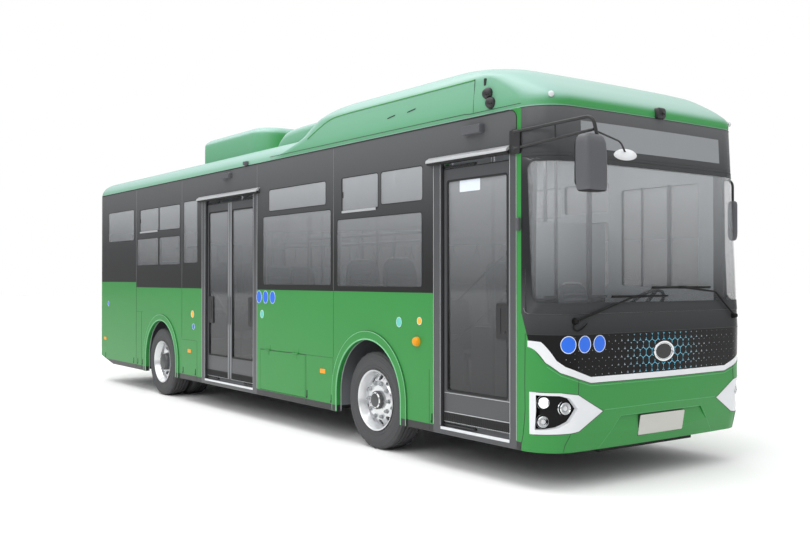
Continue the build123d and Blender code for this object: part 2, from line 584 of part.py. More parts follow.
# rear frame under the deck, its uprights joined across the tail
frame = None
for side in (-1, 1):
    rail = box(REAR_X + 100, -4500 - SEAM, side * RAIL_Y[0], side * RAIL_Y[1], 315, 400)
    rail = rail + box(REAR_X + 100, REAR_X + 160, side * RAIL_Y[0], side * RAIL_Y[1], 400,
                      deck_under_z - SEAM)
    frame = rail if frame is None else frame + rail
frame = frame + box(REAR_X + 100, REAR_X + 160, -RAIL_Y[1], RAIL_Y[1], 315, 400)
podium = box(DRIVER_DECK[0], DRIVER_DECK[1], DRIVER_DECK[2], FAR, FLOOR_TOP_Z + SEAM, PODIUM_Z) & inner
pieces = [floor, deck, upper, frame, podium]
for side in (-1, 1):
    for place in ("front", "rear"):
        wheel_box = housing(place, side, HOUSING_T, HOUSING_Y - HOUSING_T, low_floor_z)
        wheel_box = wheel_box - housing(place, side, 0, HOUSING_Y, -10) - axle_slot
        pieces.append(wheel_box)
floor_solids = []
for piece in pieces:
    floor_solids += list(piece.solids())
save("floor_deck", Compound(children=floor_solids))

# Engine and axles
engine = box(-7700, -6500, -470, 470, 400, 1140)
save("engine_block", engine)
AXLE_PAD_Z = FLOOR_TOP_Z - FLOOR_T
beam = box(-60, 60, -780, 780, 225, 305)
for side in (-1, 1):
    beam = beam + rod(0, side * 500, 305, AXLE_PAD_Z, 70)
    beam = beam + box(-50, 50, side * 780, side * 845, 225, 510)
    beam = beam + box(-45, 45, side * 845, side * KINGPIN_Y, 440, 510)
    beam = beam + rod(0, side * KINGPIN_Y, 430, 520, 45)
for side in (-1, 1):
    beam = beam - rod(0, side * KINGPIN_Y, 400, 560, KINGPIN_R + BEARING_GAP)
save("front_axle", beam)
for side in (-1, 1):
    y = side * KINGPIN_Y
    knuckle = rod(0, y, 388, 562, KINGPIN_R)
    for z0, z1 in ((388, 424), (526, 562)):
        knuckle = knuckle + rod(0, y, z0, z1, 45) + box(-45, 45, y, side * (KINGPIN_Y + 72), z0, z1)
    knuckle = knuckle + box(-50, 50, side * (KINGPIN_Y + 52), side * (KINGPIN_Y + 72), 388, 562)
    knuckle = knuckle + rod_y(0, TYRE_R, side * (KINGPIN_Y + 60), side * (FRONT_TYRE_FACE_Y - 40), SPINDLE_R)
    save("knuckle_" + side_names[side], knuckle)
REAR_SPINDLE_R = 60.0
axle = rod_y(REAR_AXLE_X, TYRE_R, -1060, 1060, 70) + Pos(REAR_AXLE_X, 0, TYRE_R) * Sphere(190)
axle = axle + rod_y(REAR_AXLE_X, TYRE_R, -(REAR_TYRE_FACE_Y - 60), REAR_TYRE_FACE_Y - 60, REAR_SPINDLE_R)
for side in (-1, 1):
    axle = axle + box(REAR_AXLE_X - 420, REAR_AXLE_X + 420, side * 450, side * 520, 405, 450)
    for dx in (-350, 350):
        axle = axle + rod(REAR_AXLE_X + dx, side * 487, 450, REAR_DECK_Z - FLOOR_T, 75)
save("rear_axle", axle)


# Wheels
def tyre(x, y_face, side):
    """A tyre as a turned ring with round shoulders, bored for its rim."""
    w = TYRE_W
    half = [(BEAD_R + RIM_T + 1, w / 2 - 22), (TYRE_R - 95, w / 2), (TYRE_R - 26, w / 2 - 10),
            (TYRE_R, w / 2 - 32)]
    points = [(r, v) for r, v in half] + [(r, -v) for r, v in reversed(half)]
    face = make_face(Plane.XY * Polyline(*points, close=True))
    ring = revolve(face, Axis.Y, 360)
    return Pos(x, side * (y_face - w / 2), TYRE_R) * ring


def turned(x, side, y_face, profile):
    """A ring about a wheel's axle: radius, distance in from the tyre's outer face."""
    points = [(r, side * (y_face - d)) for r, d in profile]
    return Pos(x, 0, TYRE_R) * revolve(make_face(Plane.XY * Polyline(*points, close=True)), Axis.Y, 360)


def rim(x, side, y_face, dish, bore, holes):
    """Drop-centre rim with a dished disc and, on an outer wheel, its hand holes."""
    w = TYRE_W - 44
    barrel = [(RIM_R, 12), (BEAD_R + RIM_T, 22), (BEAD_R + RIM_T, 60), (BEAD_R - 20, 85),
              (BEAD_R - 20, w - 60), (BEAD_R + RIM_T, w + 22), (BEAD_R - 2, w + 22), (BEAD_R - 32, w - 62),
              (BEAD_R - 32, 82), (RIM_R - 14, 12)]
    disc = [(BEAD_R - 30, dish[0]), (BEAD_R - 30, dish[0] + 22), (190, dish[1] + 22), (140, dish[2] + 22),
            (bore, dish[2] + 22), (bore, dish[2]), (140, dish[2]), (190, dish[1])]
    if not holes:
        barrel = [(BEAD_R + RIM_T, 14), (BEAD_R - 20, 85), (BEAD_R - 20, w - 60), (BEAD_R + RIM_T, w + 22),
                  (BEAD_R - 32, w + 22), (BEAD_R - 32, 14)]
        disc = [(BEAD_R - 30, dish[0]), (BEAD_R - 30, dish[0] + 22), (bore, dish[2] + 22), (bore, dish[2])]
    wheel = turned(x, side, y_face, barrel) + turned(x, side, y_face, disc)
    for i in range(holes):
        a = 2 * math.pi * (i + 0.5) / holes
        wheel = wheel - rod_y(x + 218 * math.cos(a), TYRE_R + 218 * math.sin(a), side * (y_face - 260),
                              side * y_face, 27)
    return wheel


for side in (-1, 1):
    name = side_names[side]
    save("tyre_front_" + name, tyre(0, FRONT_TYRE_FACE_Y, side))
    front = rim(0, side, FRONT_TYRE_FACE_Y, (110, 62, 50), SPINDLE_R + BEARING_GAP, HAND_HOLES)
    bore = SPINDLE_R + BEARING_GAP
    hub = [(bore, 55), (95, 55), (95, 140), (bore, 140)]
    cap = [(0, 5), (70, 5), (85, 15), (85, 60), (70, 60), (70, 20), (0, 20)]
    front = front + turned(0, side, FRONT_TYRE_FACE_Y, hub) + turned(0, side, FRONT_TYRE_FACE_Y, cap)
    save("wheel_front_" + name, front)
    twin = tyre(REAR_AXLE_X, REAR_TYRE_FACE_Y, side) + tyre(REAR_AXLE_X, REAR_TYRE_FACE_Y - TWIN_PITCH, side)
    save("tyres_rear_" + name, twin)
    b = REAR_SPINDLE_R + BEARING_GAP
    rear = rim(REAR_AXLE_X, side, REAR_TYRE_FACE_Y, (120, 150, 150), b, HAND_HOLES)
    y2 = REAR_TYRE_FACE_Y - TWIN_PITCH
    inner_rim = rim(REAR_AXLE_X, side, y2, (120, 150, 150), 150, 0)
    drum = turned(REAR_AXLE_X, side, REAR_TYRE_FACE_Y, [(150, 150), (175, 150), (175, TWIN_PITCH + 172),
                                                        (150, TWIN_PITCH + 172)])
    cap = turned(REAR_AXLE_X, side, REAR_TYRE_FACE_Y, [(0, 20), (100, 20), (115, 35), (115, 155), (b, 155),
                                                       (b, 58), (0, 58)])
    save("wheels_rear_" + name, rear + inner_rim + drum + cap)

# Cabin
seats = []

def seat(x, y, z, low=SEAT_H):
    """A shell seat on a pedestal, facing forwards."""
    stand = 40.0 if z > 1000 else low - SEAT_T
    top = z + stand + SEAT_T
    cushion = box(x - SEAT_D / 2, x + SEAT_D / 2, y - SEAT_W / 2, y + SEAT_W / 2, top - SEAT_T, top)
    back = side_prism([(x - SEAT_D / 2 - 5, top - SEAT_T), (x - SEAT_D / 2 + BACK_T, top - SEAT_T),
                       (x - SEAT_D / 2 + BACK_T - 70, top + BACK_H), (x - SEAT_D / 2 - 75, top + BACK_H)],
                      y - SEAT_W / 2, y + SEAT_W / 2)
    post = box(x - 120, x + 120, y - 45, y + 45, z, top - SEAT_T)
    return cushion + back + post


for x, y, z in SEATS:
    seats.append(seat(x, y, z))
seats.append(seat(DRIVER_X, DRIVER_Y, PODIUM_Z, 380.0))
save("seats", Compound(children=[s for p in seats for s in p.solids()]))

desk = box(1700, 2260, 330, 1190, PODIUM_Z, PODIUM_Z + 60) + box(2000, 2330, 150, 1190, FLOOR_TOP_Z, 1300)
binnacle = [(1960, 1180), (1960, 1300), (2120, 1420), (2300, 1420), (2380, 1300), (2380, 1180)]
desk = desk + side_prism(binnacle, 150, 1180)
desk = (desk & inner) - box(1690, 2000, 0, 1300, 0, PODIUM_Z)
column = strut((2010, DRIVER_Y, 1200), (1800, DRIVER_Y, 1400), 35)
wheel_plane = Plane(origin=(1795, DRIVER_Y, 1405), z_dir=(-210, 0, 200))
section = Pos(STEERING_R, 0) * RegularPolygon(STEERING_RIM_R, 6)
steering = wheel_plane * revolve(Plane.XZ * section, Axis.Z, 360) + wheel_plane * Box(2 * STEERING_R, 40, 18)
desk = desk + column + steering
save("driver_desk", desk)
partition = box(760, 800, 180, HALF_WIDTH - WALL, FLOOR_TOP_Z, 2250)
partition = partition + box(760, DRIVER_DECK[0], 180, 210, FLOOR_TOP_Z, 1500)
save("partition", partition - box(700, 1100, 150, HALF_WIDTH - WALL, 0, FLOOR_TOP_Z))

poles = []
for x, y, z in POLES:
    poles.append(rod(x, y, z, CEILING_Z, POLE_R))
for y, x0, x1, drops in RAILS:
    rail = rod_x(y, RAIL_Z, x0, x1, POLE_R)
    for x in drops:
        rail = rail + rod(x, y, RAIL_Z, CEILING_Z, POLE_R)
    poles.append(rail)
rails = poles[0]
for p in poles[1:]:
    rails = rails + p
save("handrails", rails)

# Mirrors and wipers
bracket = box(BRACKET_X - 30, BRACKET_X + 30, -HALF_WIDTH - 22, -HALF_WIDTH, 2698, 2867)
bend_x = NOSE_X + MIRROR_REACH - 60
arm_y = -(HALF_WIDTH + 17)
head_x = bend_x - 30
upper_arm = bent_bar([(BRACKET_X, arm_y, 2850), (head_x - 130, arm_y - 8, 2852), (head_x, -1230, 2790),
                      (head_x, -1230, 2700)], 13)
lower_arm = bent_bar([(BRACKET_X, arm_y, 2715), (head_x - 130, arm_y - 8, 2745), (head_x, -1230, 2755)], 12)
head = fillet(box(head_x - 60, head_x + 90, -1345, -1100, 2304, 2730).edges().filter_by(Axis.Z), 45)
small_arm = bent_bar([(head_x, -1230, 2775), (head_x - 25, -886, 2742), (head_x - 25, -856, 2574)], 8)
small = Pos(head_x - 25, -851, 2570) * (Rot(0, 12, 0) * Cylinder(115, 36))
right_mirror = bracket.fuse(upper_arm, lower_arm, head, small_arm, small)
left_arm = box(BRACKET_X - 30, BRACKET_X + 30, HALF_WIDTH, HALF_WIDTH + 22, 2600, 2720)
left_bar = bent_bar([(BRACKET_X, HALF_WIDTH + 18, 2660), (2302, 1322, 2600), (2302, 1322, 2400)], 14)
left_head = fillet(box(2262, 2342, 1284, 1360, 2032, 2410).edges().filter_by(Axis.Z), 30)
left_mirror = left_arm.fuse(left_bar, left_head)
save("mirrors", Compound(children=right_mirror.solids() + left_mirror.solids()))


def wiper(y_pivot, z_pivot, y_elbow, z_elbow, y0, y1, z_blade):
    """A wiper lying just off the glass: spindle, arm and blade."""
    def x_at(y, z, off):
        a = abs(y)
        x0 = nose_x(z) - CROWN_SAG * (a / HALF_WIDTH) ** 2
        if a > HALF_WIDTH - CORNER_R:
            x0 = x0 - CORNER_R + math.sqrt(CORNER_R ** 2 - (a - HALF_WIDTH + CORNER_R) ** 2)
        return x0 + off
    y_mid = (y0 + y1) / 2
    elbow = (x_at(y_elbow, z_elbow, 34), y_elbow, z_elbow)
    middle = (x_at(y_mid, z_blade, 24), y_mid, z_blade)
    spindle = rod_x(y_pivot, z_pivot, x_at(y_pivot, z_pivot, -70), x_at(y_pivot, z_pivot, 40),
                    SPINDLE_HOLE_R - 0.3)
    arm = strut((x_at(y_pivot, z_pivot, 26), y_pivot, z_pivot), elbow, 9)
    blade = strut((x_at(y0, z_blade, 22), y0, z_blade), middle, 9)
    blade = blade + strut(middle, (x_at(y1, z_blade, 22), y1, z_blade), 9)
    link = strut(elbow, (x_at(y_mid, z_blade, 26), y_mid, z_blade), 9)
    return spindle + arm + blade + link


save("wipers", wiper(*WIPER_PIVOTS[0], -420.0, 1520.0, -640.0, 40.0, 1530.0)
     + wiper(*WIPER_PIVOTS[1], 700.0, 1560.0, -150.0, 640.0, 1600.0))
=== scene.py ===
import bpy
import bmesh
import math
from mathutils import Matrix, Vector


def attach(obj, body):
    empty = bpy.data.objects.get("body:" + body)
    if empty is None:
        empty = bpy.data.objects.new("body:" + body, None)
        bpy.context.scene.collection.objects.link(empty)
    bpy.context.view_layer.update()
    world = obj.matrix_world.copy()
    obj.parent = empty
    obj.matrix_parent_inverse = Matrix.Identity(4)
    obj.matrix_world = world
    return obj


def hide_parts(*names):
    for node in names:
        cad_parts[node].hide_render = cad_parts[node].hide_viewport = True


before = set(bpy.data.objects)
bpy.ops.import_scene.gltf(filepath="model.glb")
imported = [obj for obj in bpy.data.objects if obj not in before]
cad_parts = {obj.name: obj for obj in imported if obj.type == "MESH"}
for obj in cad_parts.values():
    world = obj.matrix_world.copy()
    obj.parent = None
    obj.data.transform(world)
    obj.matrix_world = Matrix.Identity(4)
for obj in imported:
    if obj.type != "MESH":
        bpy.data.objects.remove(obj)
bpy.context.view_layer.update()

axleX = 2.5                        # front axle in the bus's own frame, metres


# small helpers: shapes are drawn in millimetres, stations counted from the front axle
def mm(x, y, z):
    return Vector((axleX + x / 1000, y / 1000, z / 1000))


def linear(hexText):
    parts = [int(hexText[i:i + 2], 16) / 255 for i in (1, 3, 5)]
    return [p / 12.92 if p <= 0.04045 else ((p + 0.055) / 1.055) ** 2.4 for p in parts] + [1.0]


def addNode(tree, kind, settings=None, links=None):
    # settings are sockets, properties or a ramp's stops, links are (socket of this node, node, its output)
    node = tree.nodes.new(kind)
    for key, value in (settings or {}).items():
        if key == "stops":
            for _ in value[2:]:
                node.color_ramp.elements.new(0.5)
            for element, (place, colour) in zip(node.color_ramp.elements, value):
                element.position = place
                element.color = linear(colour)
        elif isinstance(key, int) or key in node.inputs:
            node.inputs[key].default_value = value
        else:
            setattr(node, key, value)
    for socket, source, output in (links or []):
        tree.links.new(source.outputs[output], node.inputs[socket])
    return node


def newPiece(name, mesh, material, body="body", smooth=35.0, bevel=0.0, replaced=()):
    for vertex in mesh.verts:
        vertex.co = mm(*vertex.co)
    bmesh.ops.recalc_face_normals(mesh, faces=mesh.faces)
    data = bpy.data.meshes.new(name)
    mesh.to_mesh(data)
    mesh.free()
    data.materials.append(material)
    data.shade_smooth()
    data.set_sharp_from_angle(angle=math.radians(smooth))
    piece = bpy.data.objects.new(name, data)
    bpy.context.scene.collection.objects.link(piece)
    if bevel:
        edges = piece.modifiers.new("edges", "BEVEL")
        edges.width = bevel / 1000
        edges.segments = 2
        edges.limit_method = "ANGLE"
        edges.angle_limit = math.radians(35)
    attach(piece, body)
    if replaced:
        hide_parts(*replaced)
    return piece


def addBox(mesh, x0, x1, y0, y1, z0, z1):
    place = Matrix.Translation(((x0 + x1) / 2, (y0 + y1) / 2, (z0 + z1) / 2))
    bmesh.ops.create_cube(mesh, size=1.0, matrix=place @ Matrix.Diagonal((x1 - x0, y1 - y0, z1 - z0, 1)))


def joinLoops(mesh, first, second):
    for i in range(len(first)):
        j = (i + 1) % len(first)
        mesh.faces.new((first[i], first[j], second[j], second[i]))


def across(axis, u, v, w):
    # a point of a flat outline (u, v) pushed w along the axis that it is drawn across
    return {"x": (w, u, v), "y": (u, w, v), "z": (u, v, w)}[axis]


def addLoft(mesh, rows, capped=True, ring=False):
    loops = [[mesh.verts.new(point) for point in row] for row in rows]
    for first, second in zip(loops, loops[1:] + (loops[:1] if ring else [])):
        joinLoops(mesh, first, second)
    if capped and not ring:
        mesh.faces.new(loops[0])
        mesh.faces.new(list(reversed(loops[-1])))
    return loops


def addPrism(mesh, outline, axis, low, high):
    addLoft(mesh, [[across(axis, u, v, w) for u, v in outline] for w in (low, high)])


def addFrame(mesh, outer, inner, axis, low, high):
    addLoft(mesh, [[across(axis, u, v, w) for u, v in line]
                   for line, w in ((outer, low), (outer, high), (inner, high), (inner, low))], ring=True)


def roundedOutline(u0, u1, v0, v1, radius, steps=5):
    corners = ((u1 - radius, v1 - radius, 0), (u0 + radius, v1 - radius, 90),
               (u0 + radius, v0 + radius, 180), (u1 - radius, v0 + radius, 270))
    return [(u + radius * math.cos(math.radians(start + 90 * i / steps)),
             v + radius * math.sin(math.radians(start + 90 * i / steps)))
            for u, v, start in corners for i in range(steps + 1)]


def ovalOutline(u, v, wide, tall, count=32):
    return [(u + wide * math.cos(2 * math.pi * k / count), v + tall * math.sin(2 * math.pi * k / count))
            for k in range(count)]


def addLathe(mesh, profile, centre, direction, segments=32, ring=False):
    # profile holds radius and distance along the direction
    turn = Vector(direction).normalized().to_track_quat("Z", "Y").to_matrix()
    rows = []
    for radius, along in profile:
        angles = [0.0] if radius < 0.01 else [2 * math.pi * i / segments for i in range(segments)]
        rows.append([mesh.verts.new(Vector(centre) + turn @ Vector((radius * math.cos(a), radius * math.sin(a), along)))
                     for a in angles])
    for first, second in zip(rows, rows[1:] + (rows[:1] if ring else [])):
        for i in range(segments):
            j = (i + 1) % segments
            if len(first) == 1 and len(second) > 1:
                mesh.faces.new((first[0], second[j], second[i]))
            elif len(second) == 1 and len(first) > 1:
                mesh.faces.new((first[i], first[j], second[0]))
            elif len(first) > 1:
                mesh.faces.new((first[i], first[j], second[j], second[i]))
    return rows


def addTube(mesh, points, radius, sides=8, closed=False):
    points = [Vector(p) for p in points]
    side = None
    rows = []
    for i, point in enumerate(points):
        before = points[i - 1] if i or closed else point
        after = points[(i + 1) % len(points)] if i < len(points) - 1 or closed else point
        along = (after - before).normalized()
        if side is None:
            side = along.cross(Vector((0, 0, 1)))
            if side.length < 0.2:
                side = along.cross(Vector((1, 0, 0)))
        side = (side - along * side.dot(along)).normalized()
        other = along.cross(side)
        rows.append([point + (side * math.cos(a) + other * math.sin(a)) * radius
                     for a in (2 * math.pi * k / sides for k in range(sides))])
    addLoft(mesh, rows, ring=closed)


def bend(points, radius, steps=6):
    # a run of straight bars with each corner bent to a soft curve
    points = [Vector(p) for p in points]
    line = [points[0]]
    for before, corner, after in zip(points, points[1:], points[2:]):
        a = corner + (before - corner).normalized() * min(radius, (before - corner).length * 0.45)
        b = corner + (after - corner).normalized() * min(radius, (after - corner).length * 0.45)
        line += [a * (1 - t) ** 2 + corner * 2 * t * (1 - t) + b * t * t
                 for t in (k / steps for k in range(steps + 1))]
    return line + [points[-1]]


# the front's own surface: s runs round it from the middle, z is the height
# lean: height, and how far the front is set back there
frontShape = {"nose": 2540.0, "half": 1275.0, "corner": 300.0, "sag": 30.0,
              "lean": [(307, 60), (450, 22), (632, 2), (847, 6), (1243, 0), (3040, 88)]}
crownR = (frontShape["half"] ** 2 + frontShape["sag"] ** 2) / (2 * frontShape["sag"])
cornerStart = math.asin((frontShape["half"] - frontShape["corner"]) / (crownR - frontShape["corner"]))
crownEnd = crownR * cornerStart
cornerBack = crownR - (crownR - frontShape["corner"]) * math.cos(cornerStart)
cornerEnd = crownEnd + frontShape["corner"] * (math.pi / 2 - cornerStart)


def noseX(z):
    steps = frontShape["lean"]
    for (z0, b0), (z1, b1) in zip(steps, steps[1:]):
        if z <= z1:
            return frontShape["nose"] - b0 - (b1 - b0) * (z - z0) / (z1 - z0)
    return frontShape["nose"] - steps[-1][1]


def frontAt(s, z, out=0.0):
    # a point of the front, pushed out square to it
    run = abs(s)
    if run < crownEnd:
        angle = run / crownR
        x = noseX(z) - crownR * (1 - math.cos(angle)) + out * math.cos(angle)
        y = (crownR + out) * math.sin(angle)
    elif run < cornerEnd:
        angle = cornerStart + (run - crownEnd) / frontShape["corner"]
        x = noseX(z) - cornerBack + (frontShape["corner"] + out) * math.cos(angle)
        y = frontShape["half"] - frontShape["corner"] + (frontShape["corner"] + out) * math.sin(angle)
    else:
        x = noseX(z) - cornerBack - (run - cornerEnd)
        y = frontShape["half"] + out
    return Vector((x, math.copysign(y, s), z))


def frontNormal(s, z):
    sideways = frontAt(s + 2, z) - frontAt(s - 2, z)
    upwards = frontAt(s, z + 6) - frontAt(s, z - 6)
    return sideways.cross(upwards).normalized()


def spread(y):
    # how far round the front a point stands that is y off the bus's middle line
    inner = frontShape["half"] - frontShape["corner"]
    if abs(y) <= crownR * math.sin(cornerStart):
        return math.copysign(crownR * math.asin(abs(y) / crownR), y)
    lean = math.asin(min(1.0, (abs(y) - inner) / frontShape["corner"]))
    return math.copysign(crownEnd + frontShape["corner"] * (lean - cornerStart), y)


def densify(points, step, closed=False):
    # adds points until none stands further than one step from the next
    line = []
    pairs = list(zip(points, points[1:] + (points[:1] if closed else [])))
    if not closed:
        pairs = pairs[:len(points) - 1]
    for (u0, v0), (u1, v1) in pairs:
        count = max(1, math.ceil(math.hypot(u1 - u0, v1 - v0) / step))
        line += [(u0 + (u1 - u0) * k / count, v0 + (v1 - v0) * k / count) for k in range(count)]
    return line if closed else line + [points[-1]]


def addFrontLine(mesh, points, radius, out=0.0, closed=False, sides=6):
    addTube(mesh, [frontAt(s, z, out) for s, z in densify(points, 30, closed)], radius, sides, closed)


def addFrontPlate(mesh, outline, low, high):
    addLoft(mesh, [[frontAt(s, z, out) for s, z in outline] for out in (low, high)])


def addFrontDisc(mesh, s, z, wide, tall, out, rings=4, count=36):
    # a thin disc that lies on the curved front
    rows = [[mesh.verts.new(frontAt(s + wide * k / rings * math.cos(a), z + tall * k / rings * math.sin(a), out))
             for a in (2 * math.pi * i / count for i in range(count))] for k in range(1, rings + 1)]
    centre = mesh.verts.new(frontAt(s, z, out))
    for i in range(count):
        mesh.faces.new((centre, rows[0][i], rows[0][(i + 1) % count]))
    for first, second in zip(rows, rows[1:]):
        joinLoops(mesh, first, second)


def addFrontSheet(mesh, stations, heights, out):
    # an open sheet that follows the front, one vertex at each station and height
    grid = [[mesh.verts.new(frontAt(s, z, out)) for s in stations] for z in heights]
    for lowRow, highRow in zip(grid, grid[1:]):
        for a, b, c, d in zip(lowRow, lowRow[1:], highRow[1:], highRow):
            mesh.faces.new((a, b, c, d))


def addFrontFrame(mesh, outer, inner, low, high, step=40):
    # the two outlines have the same number of points
    pairs = []
    for i in range(len(outer)):
        j = (i + 1) % len(outer)
        count = max(1, math.ceil(math.dist(outer[i], outer[j]) / step))
        for k in range(count):
            t = k / count
            pairs.append([(a[0] + (b[0] - a[0]) * t, a[1] + (b[1] - a[1]) * t)
                          for a, b in ((outer[i], outer[j]), (inner[i], inner[j]))])
    addLoft(mesh, [[frontAt(*pair[which], out) for pair in pairs]
                   for which, out in ((0, low), (0, high), (1, high), (1, low))], ring=True)


# camera, from the photograph
cameraValues = {"place": (10.146, -6.451, 1.671), "towards": (-0.80620, 0.59156, 0.01006), "lens": 41.81}
camera = bpy.data.objects.new("camera", bpy.data.cameras.new("camera"))
camera.data.lens = cameraValues["lens"]
camera.data.sensor_width = 36
camera.location = cameraValues["place"]
camera.rotation_euler = Vector(cameraValues["towards"]).to_track_quat("-Z", "Y").to_euler()
bpy.context.scene.collection.objects.link(camera)
bpy.context.scene.camera = camera
print("camera set")


# materials, each named for what the real part is made of, or for the painted light it stands in for
def newMaterial(name, values):
    material = bpy.data.materials.new(name)
    material.use_nodes = True
    shader = material.node_tree.nodes["Principled BSDF"]
    for key, value in values.items():
        shader.inputs[key].default_value = linear(value) if isinstance(value, str) else value
    return material, material.node_tree, shader


def grainBump(tree, shader, scale, strength, distance, detail=3.0):
    coords = addNode(tree, "ShaderNodeTexCoord")
    noise = addNode(tree, "ShaderNodeTexNoise", {"Scale": scale, "Detail": detail}, [("Vector", coords, "Object")])
    bump = addNode(tree, "ShaderNodeBump", {"Strength": strength, "Distance": distance}, [("Height", noise, "Fac")])
    tree.links.new(bump.outputs["Normal"], shader.inputs["Normal"])
    return coords, noise


def heightFactor(tree, coords, low, high):
    # 0 at height low, 1 at height high, in metres above the road
    split = addNode(tree, "ShaderNodeSeparateXYZ", {}, [("Vector", coords, "Object")])
    scale = addNode(tree, "ShaderNodeMapRange", {"From Min": low, "From Max": high}, [("Value", split, "Z")])
    return split, scale


def plainMaterial(name, colour, roughness, bumpScale, bumpStrength, bumpDistance, extra=None, patchy=0.18):
    values = {"Base Color": colour, "Roughness": roughness}
    values.update(extra or {})
    material, tree, shader = newMaterial(name, values)
    noise = grainBump(tree, shader, bumpScale, bumpStrength, bumpDistance)[1]
    shade = addNode(tree, "ShaderNodeMix", {"data_type": "RGBA", "blend_type": "MULTIPLY", "Factor": patchy,
                                            6: linear(colour)}, [(7, noise, "Color")])
    tree.links.new(shade.outputs[2], shader.inputs["Base Color"])
    return material


paintValues = {"green": "#318a3f", "roughness": 0.38, "coat": 0.1}


def coachPaint(name, colour):
    # two-pack coach enamel, sprayed: even colour, soft gloss, a faint ripple under the lacquer
    material, tree, shader = newMaterial(name, {
        "Base Color": colour, "Roughness": paintValues["roughness"], "IOR": 1.5, "Specular IOR Level": 0.3,
        "Coat Weight": paintValues["coat"], "Coat Roughness": 0.1})
    coords = grainBump(tree, shader, 260.0, 0.03, 0.0004, 1.0)[0]
    patch = addNode(tree, "ShaderNodeTexNoise", {"Scale": 1.3, "Detail": 2.0}, [("Vector", coords, "Object")])
    tone = addNode(tree, "ShaderNodeMix", {"data_type": "RGBA", "blend_type": "MULTIPLY", "Factor": 0.08,
                                           6: linear(colour)}, [(7, patch, "Color")])
    tree.links.new(tone.outputs[2], shader.inputs["Base Color"])
    return material, tree, shader, coords, tone


greenPaint = coachPaint("coachEnamelGreen", paintValues["green"])[0]
# painted highlight: a pale copy of the green enamel, laid on the arch lips where they catch the sky
lipHighlightPaint = coachPaint("paintedHighlightPaleGreen", "#7cc28e")[0]         # sky caught on the lips of the wheel arches
# painted highlight: a lighter copy of the green enamel, for light along the bumper's folds
foldHighlightPaint = coachPaint("paintedHighlightFoldGreen", "#4fa061")[0]         # light caught along the bumper's folds

# side panels: green below the belt, dark glazing band above it, grey rubber-faced skirt, pale lining inside; the band's
# ramp from near black low to grey at the top is painted reflection of the sky
sideValues = {"belt": 1.545, "rearBelt": 1.623, "rearBeltX": -6.318 + axleX, "skirt": 0.374, "pillarX": 2.103 + axleX,
              "bandTop": "#58595b", "bandMiddle": "#2e2f30", "bandLow": "#0c0c0d", "skirtColour": "#2f2f30",
              "lining": "#b4b8bb", "liningY": 1.236}


def sidePaint():
    material, tree, shader, coords, tone = coachPaint("coachEnamelSide", paintValues["green"])
    split, fade = heightFactor(tree, coords, 1.6, 3.0)
    # painted reflection: the dark band greys from near black at its foot to grey at the top
    band = addNode(tree, "ShaderNodeValToRGB", {"stops": [
        (0.0, sideValues["bandLow"]), (0.4, sideValues["bandMiddle"]), (1.0, sideValues["bandTop"])]},
                   [("Fac", fade, "Result")])
    behind = addNode(tree, "ShaderNodeMath", {"operation": "LESS_THAN", 1: sideValues["rearBeltX"]}, [(0, split, "X")])
    step = addNode(tree, "ShaderNodeMath", {"operation": "MULTIPLY_ADD",
                                            1: sideValues["rearBelt"] - sideValues["belt"], 2: sideValues["belt"]},
                   [(0, behind, "Value")])
    above = addNode(tree, "ShaderNodeMath", {"operation": "GREATER_THAN"}, [(0, split, "Z"), (1, step, "Value")])
    aft = addNode(tree, "ShaderNodeMath", {"operation": "LESS_THAN", 1: sideValues["pillarX"]}, [(0, split, "X")])
    banded = addNode(tree, "ShaderNodeMath", {"operation": "MULTIPLY"}, [(0, above, "Value"), (1, aft, "Value")])
    below = addNode(tree, "ShaderNodeMath", {"operation": "LESS_THAN", 1: sideValues["skirt"]}, [(0, split, "Z")])
    wide = addNode(tree, "ShaderNodeMath", {"operation": "ABSOLUTE"}, [(0, split, "Y")])
    inside = addNode(tree, "ShaderNodeMath", {"operation": "LESS_THAN", 1: sideValues["liningY"]}, [(0, wide, "Value")])
    upper = addNode(tree, "ShaderNodeMix", {"data_type": "RGBA"},
                    [("Factor", banded, "Value"), (6, tone, 2), (7, band, 0)])
    lower = addNode(tree, "ShaderNodeMix", {"data_type": "RGBA", 7: linear(sideValues["skirtColour"])},
                    [("Factor", below, "Value"), (6, upper, 2)])
    lined = addNode(tree, "ShaderNodeMix", {"data_type": "RGBA", 7: linear(sideValues["lining"])},
                    [("Factor", inside, "Value"), (6, lower, 2)])
    tree.links.new(lined.outputs[2], shader.inputs["Base Color"])
    return material


sideMaterial = sidePaint()


def maskPaint(name, stops, specular, coat):
    # black enamelled glass and mouldings round the screen: glossy, made lighter towards the top by a ramp over height,
    # painted reflection of the sky
    material, tree, shader = newMaterial(name, {"Roughness": 0.22, "IOR": 1.5, "Specular IOR Level": specular,
                                                "Coat Weight": coat})
    coords = grainBump(tree, shader, 40.0, 0.01, 0.0005)[0]
    fade = heightFactor(tree, coords, 0.85, 3.05)[1]
    ramp = addNode(tree, "ShaderNodeValToRGB", {"stops": stops}, [("Fac", fade, "Result")])
    tree.links.new(ramp.outputs["Color"], shader.inputs["Base Color"])
    return material


# stops run from 0.85 m to 3.05 m above the road. On the mask the lighter band near 1.2 to 1.7 m and the grey towards
# the top are painted reflection; on the panel the step at 1.233 m falls on the seam at 1235 mm, and the slight greying
# above it is painted reflection
maskStops = [(0.0, "#151516"), (0.17, "#2b2c2d"), (0.27, "#3b3c3e"), (0.4, "#202122"), (0.75, "#2b2c2d"),
             (1.0, "#5a5b5d")]
panelStops = [(0.0, "#08080a"), (0.174, "#141415"), (0.176, "#343536"), (0.25, "#414243")]
maskMaterial = maskPaint("enamelledGlassBlack", maskStops, 0.35, 0.1)        # black glass that greys upwards
panelMaterial = maskPaint("smokedAcrylicPanel", panelStops, 0.15, 0.0)       # deep black, fine gloss


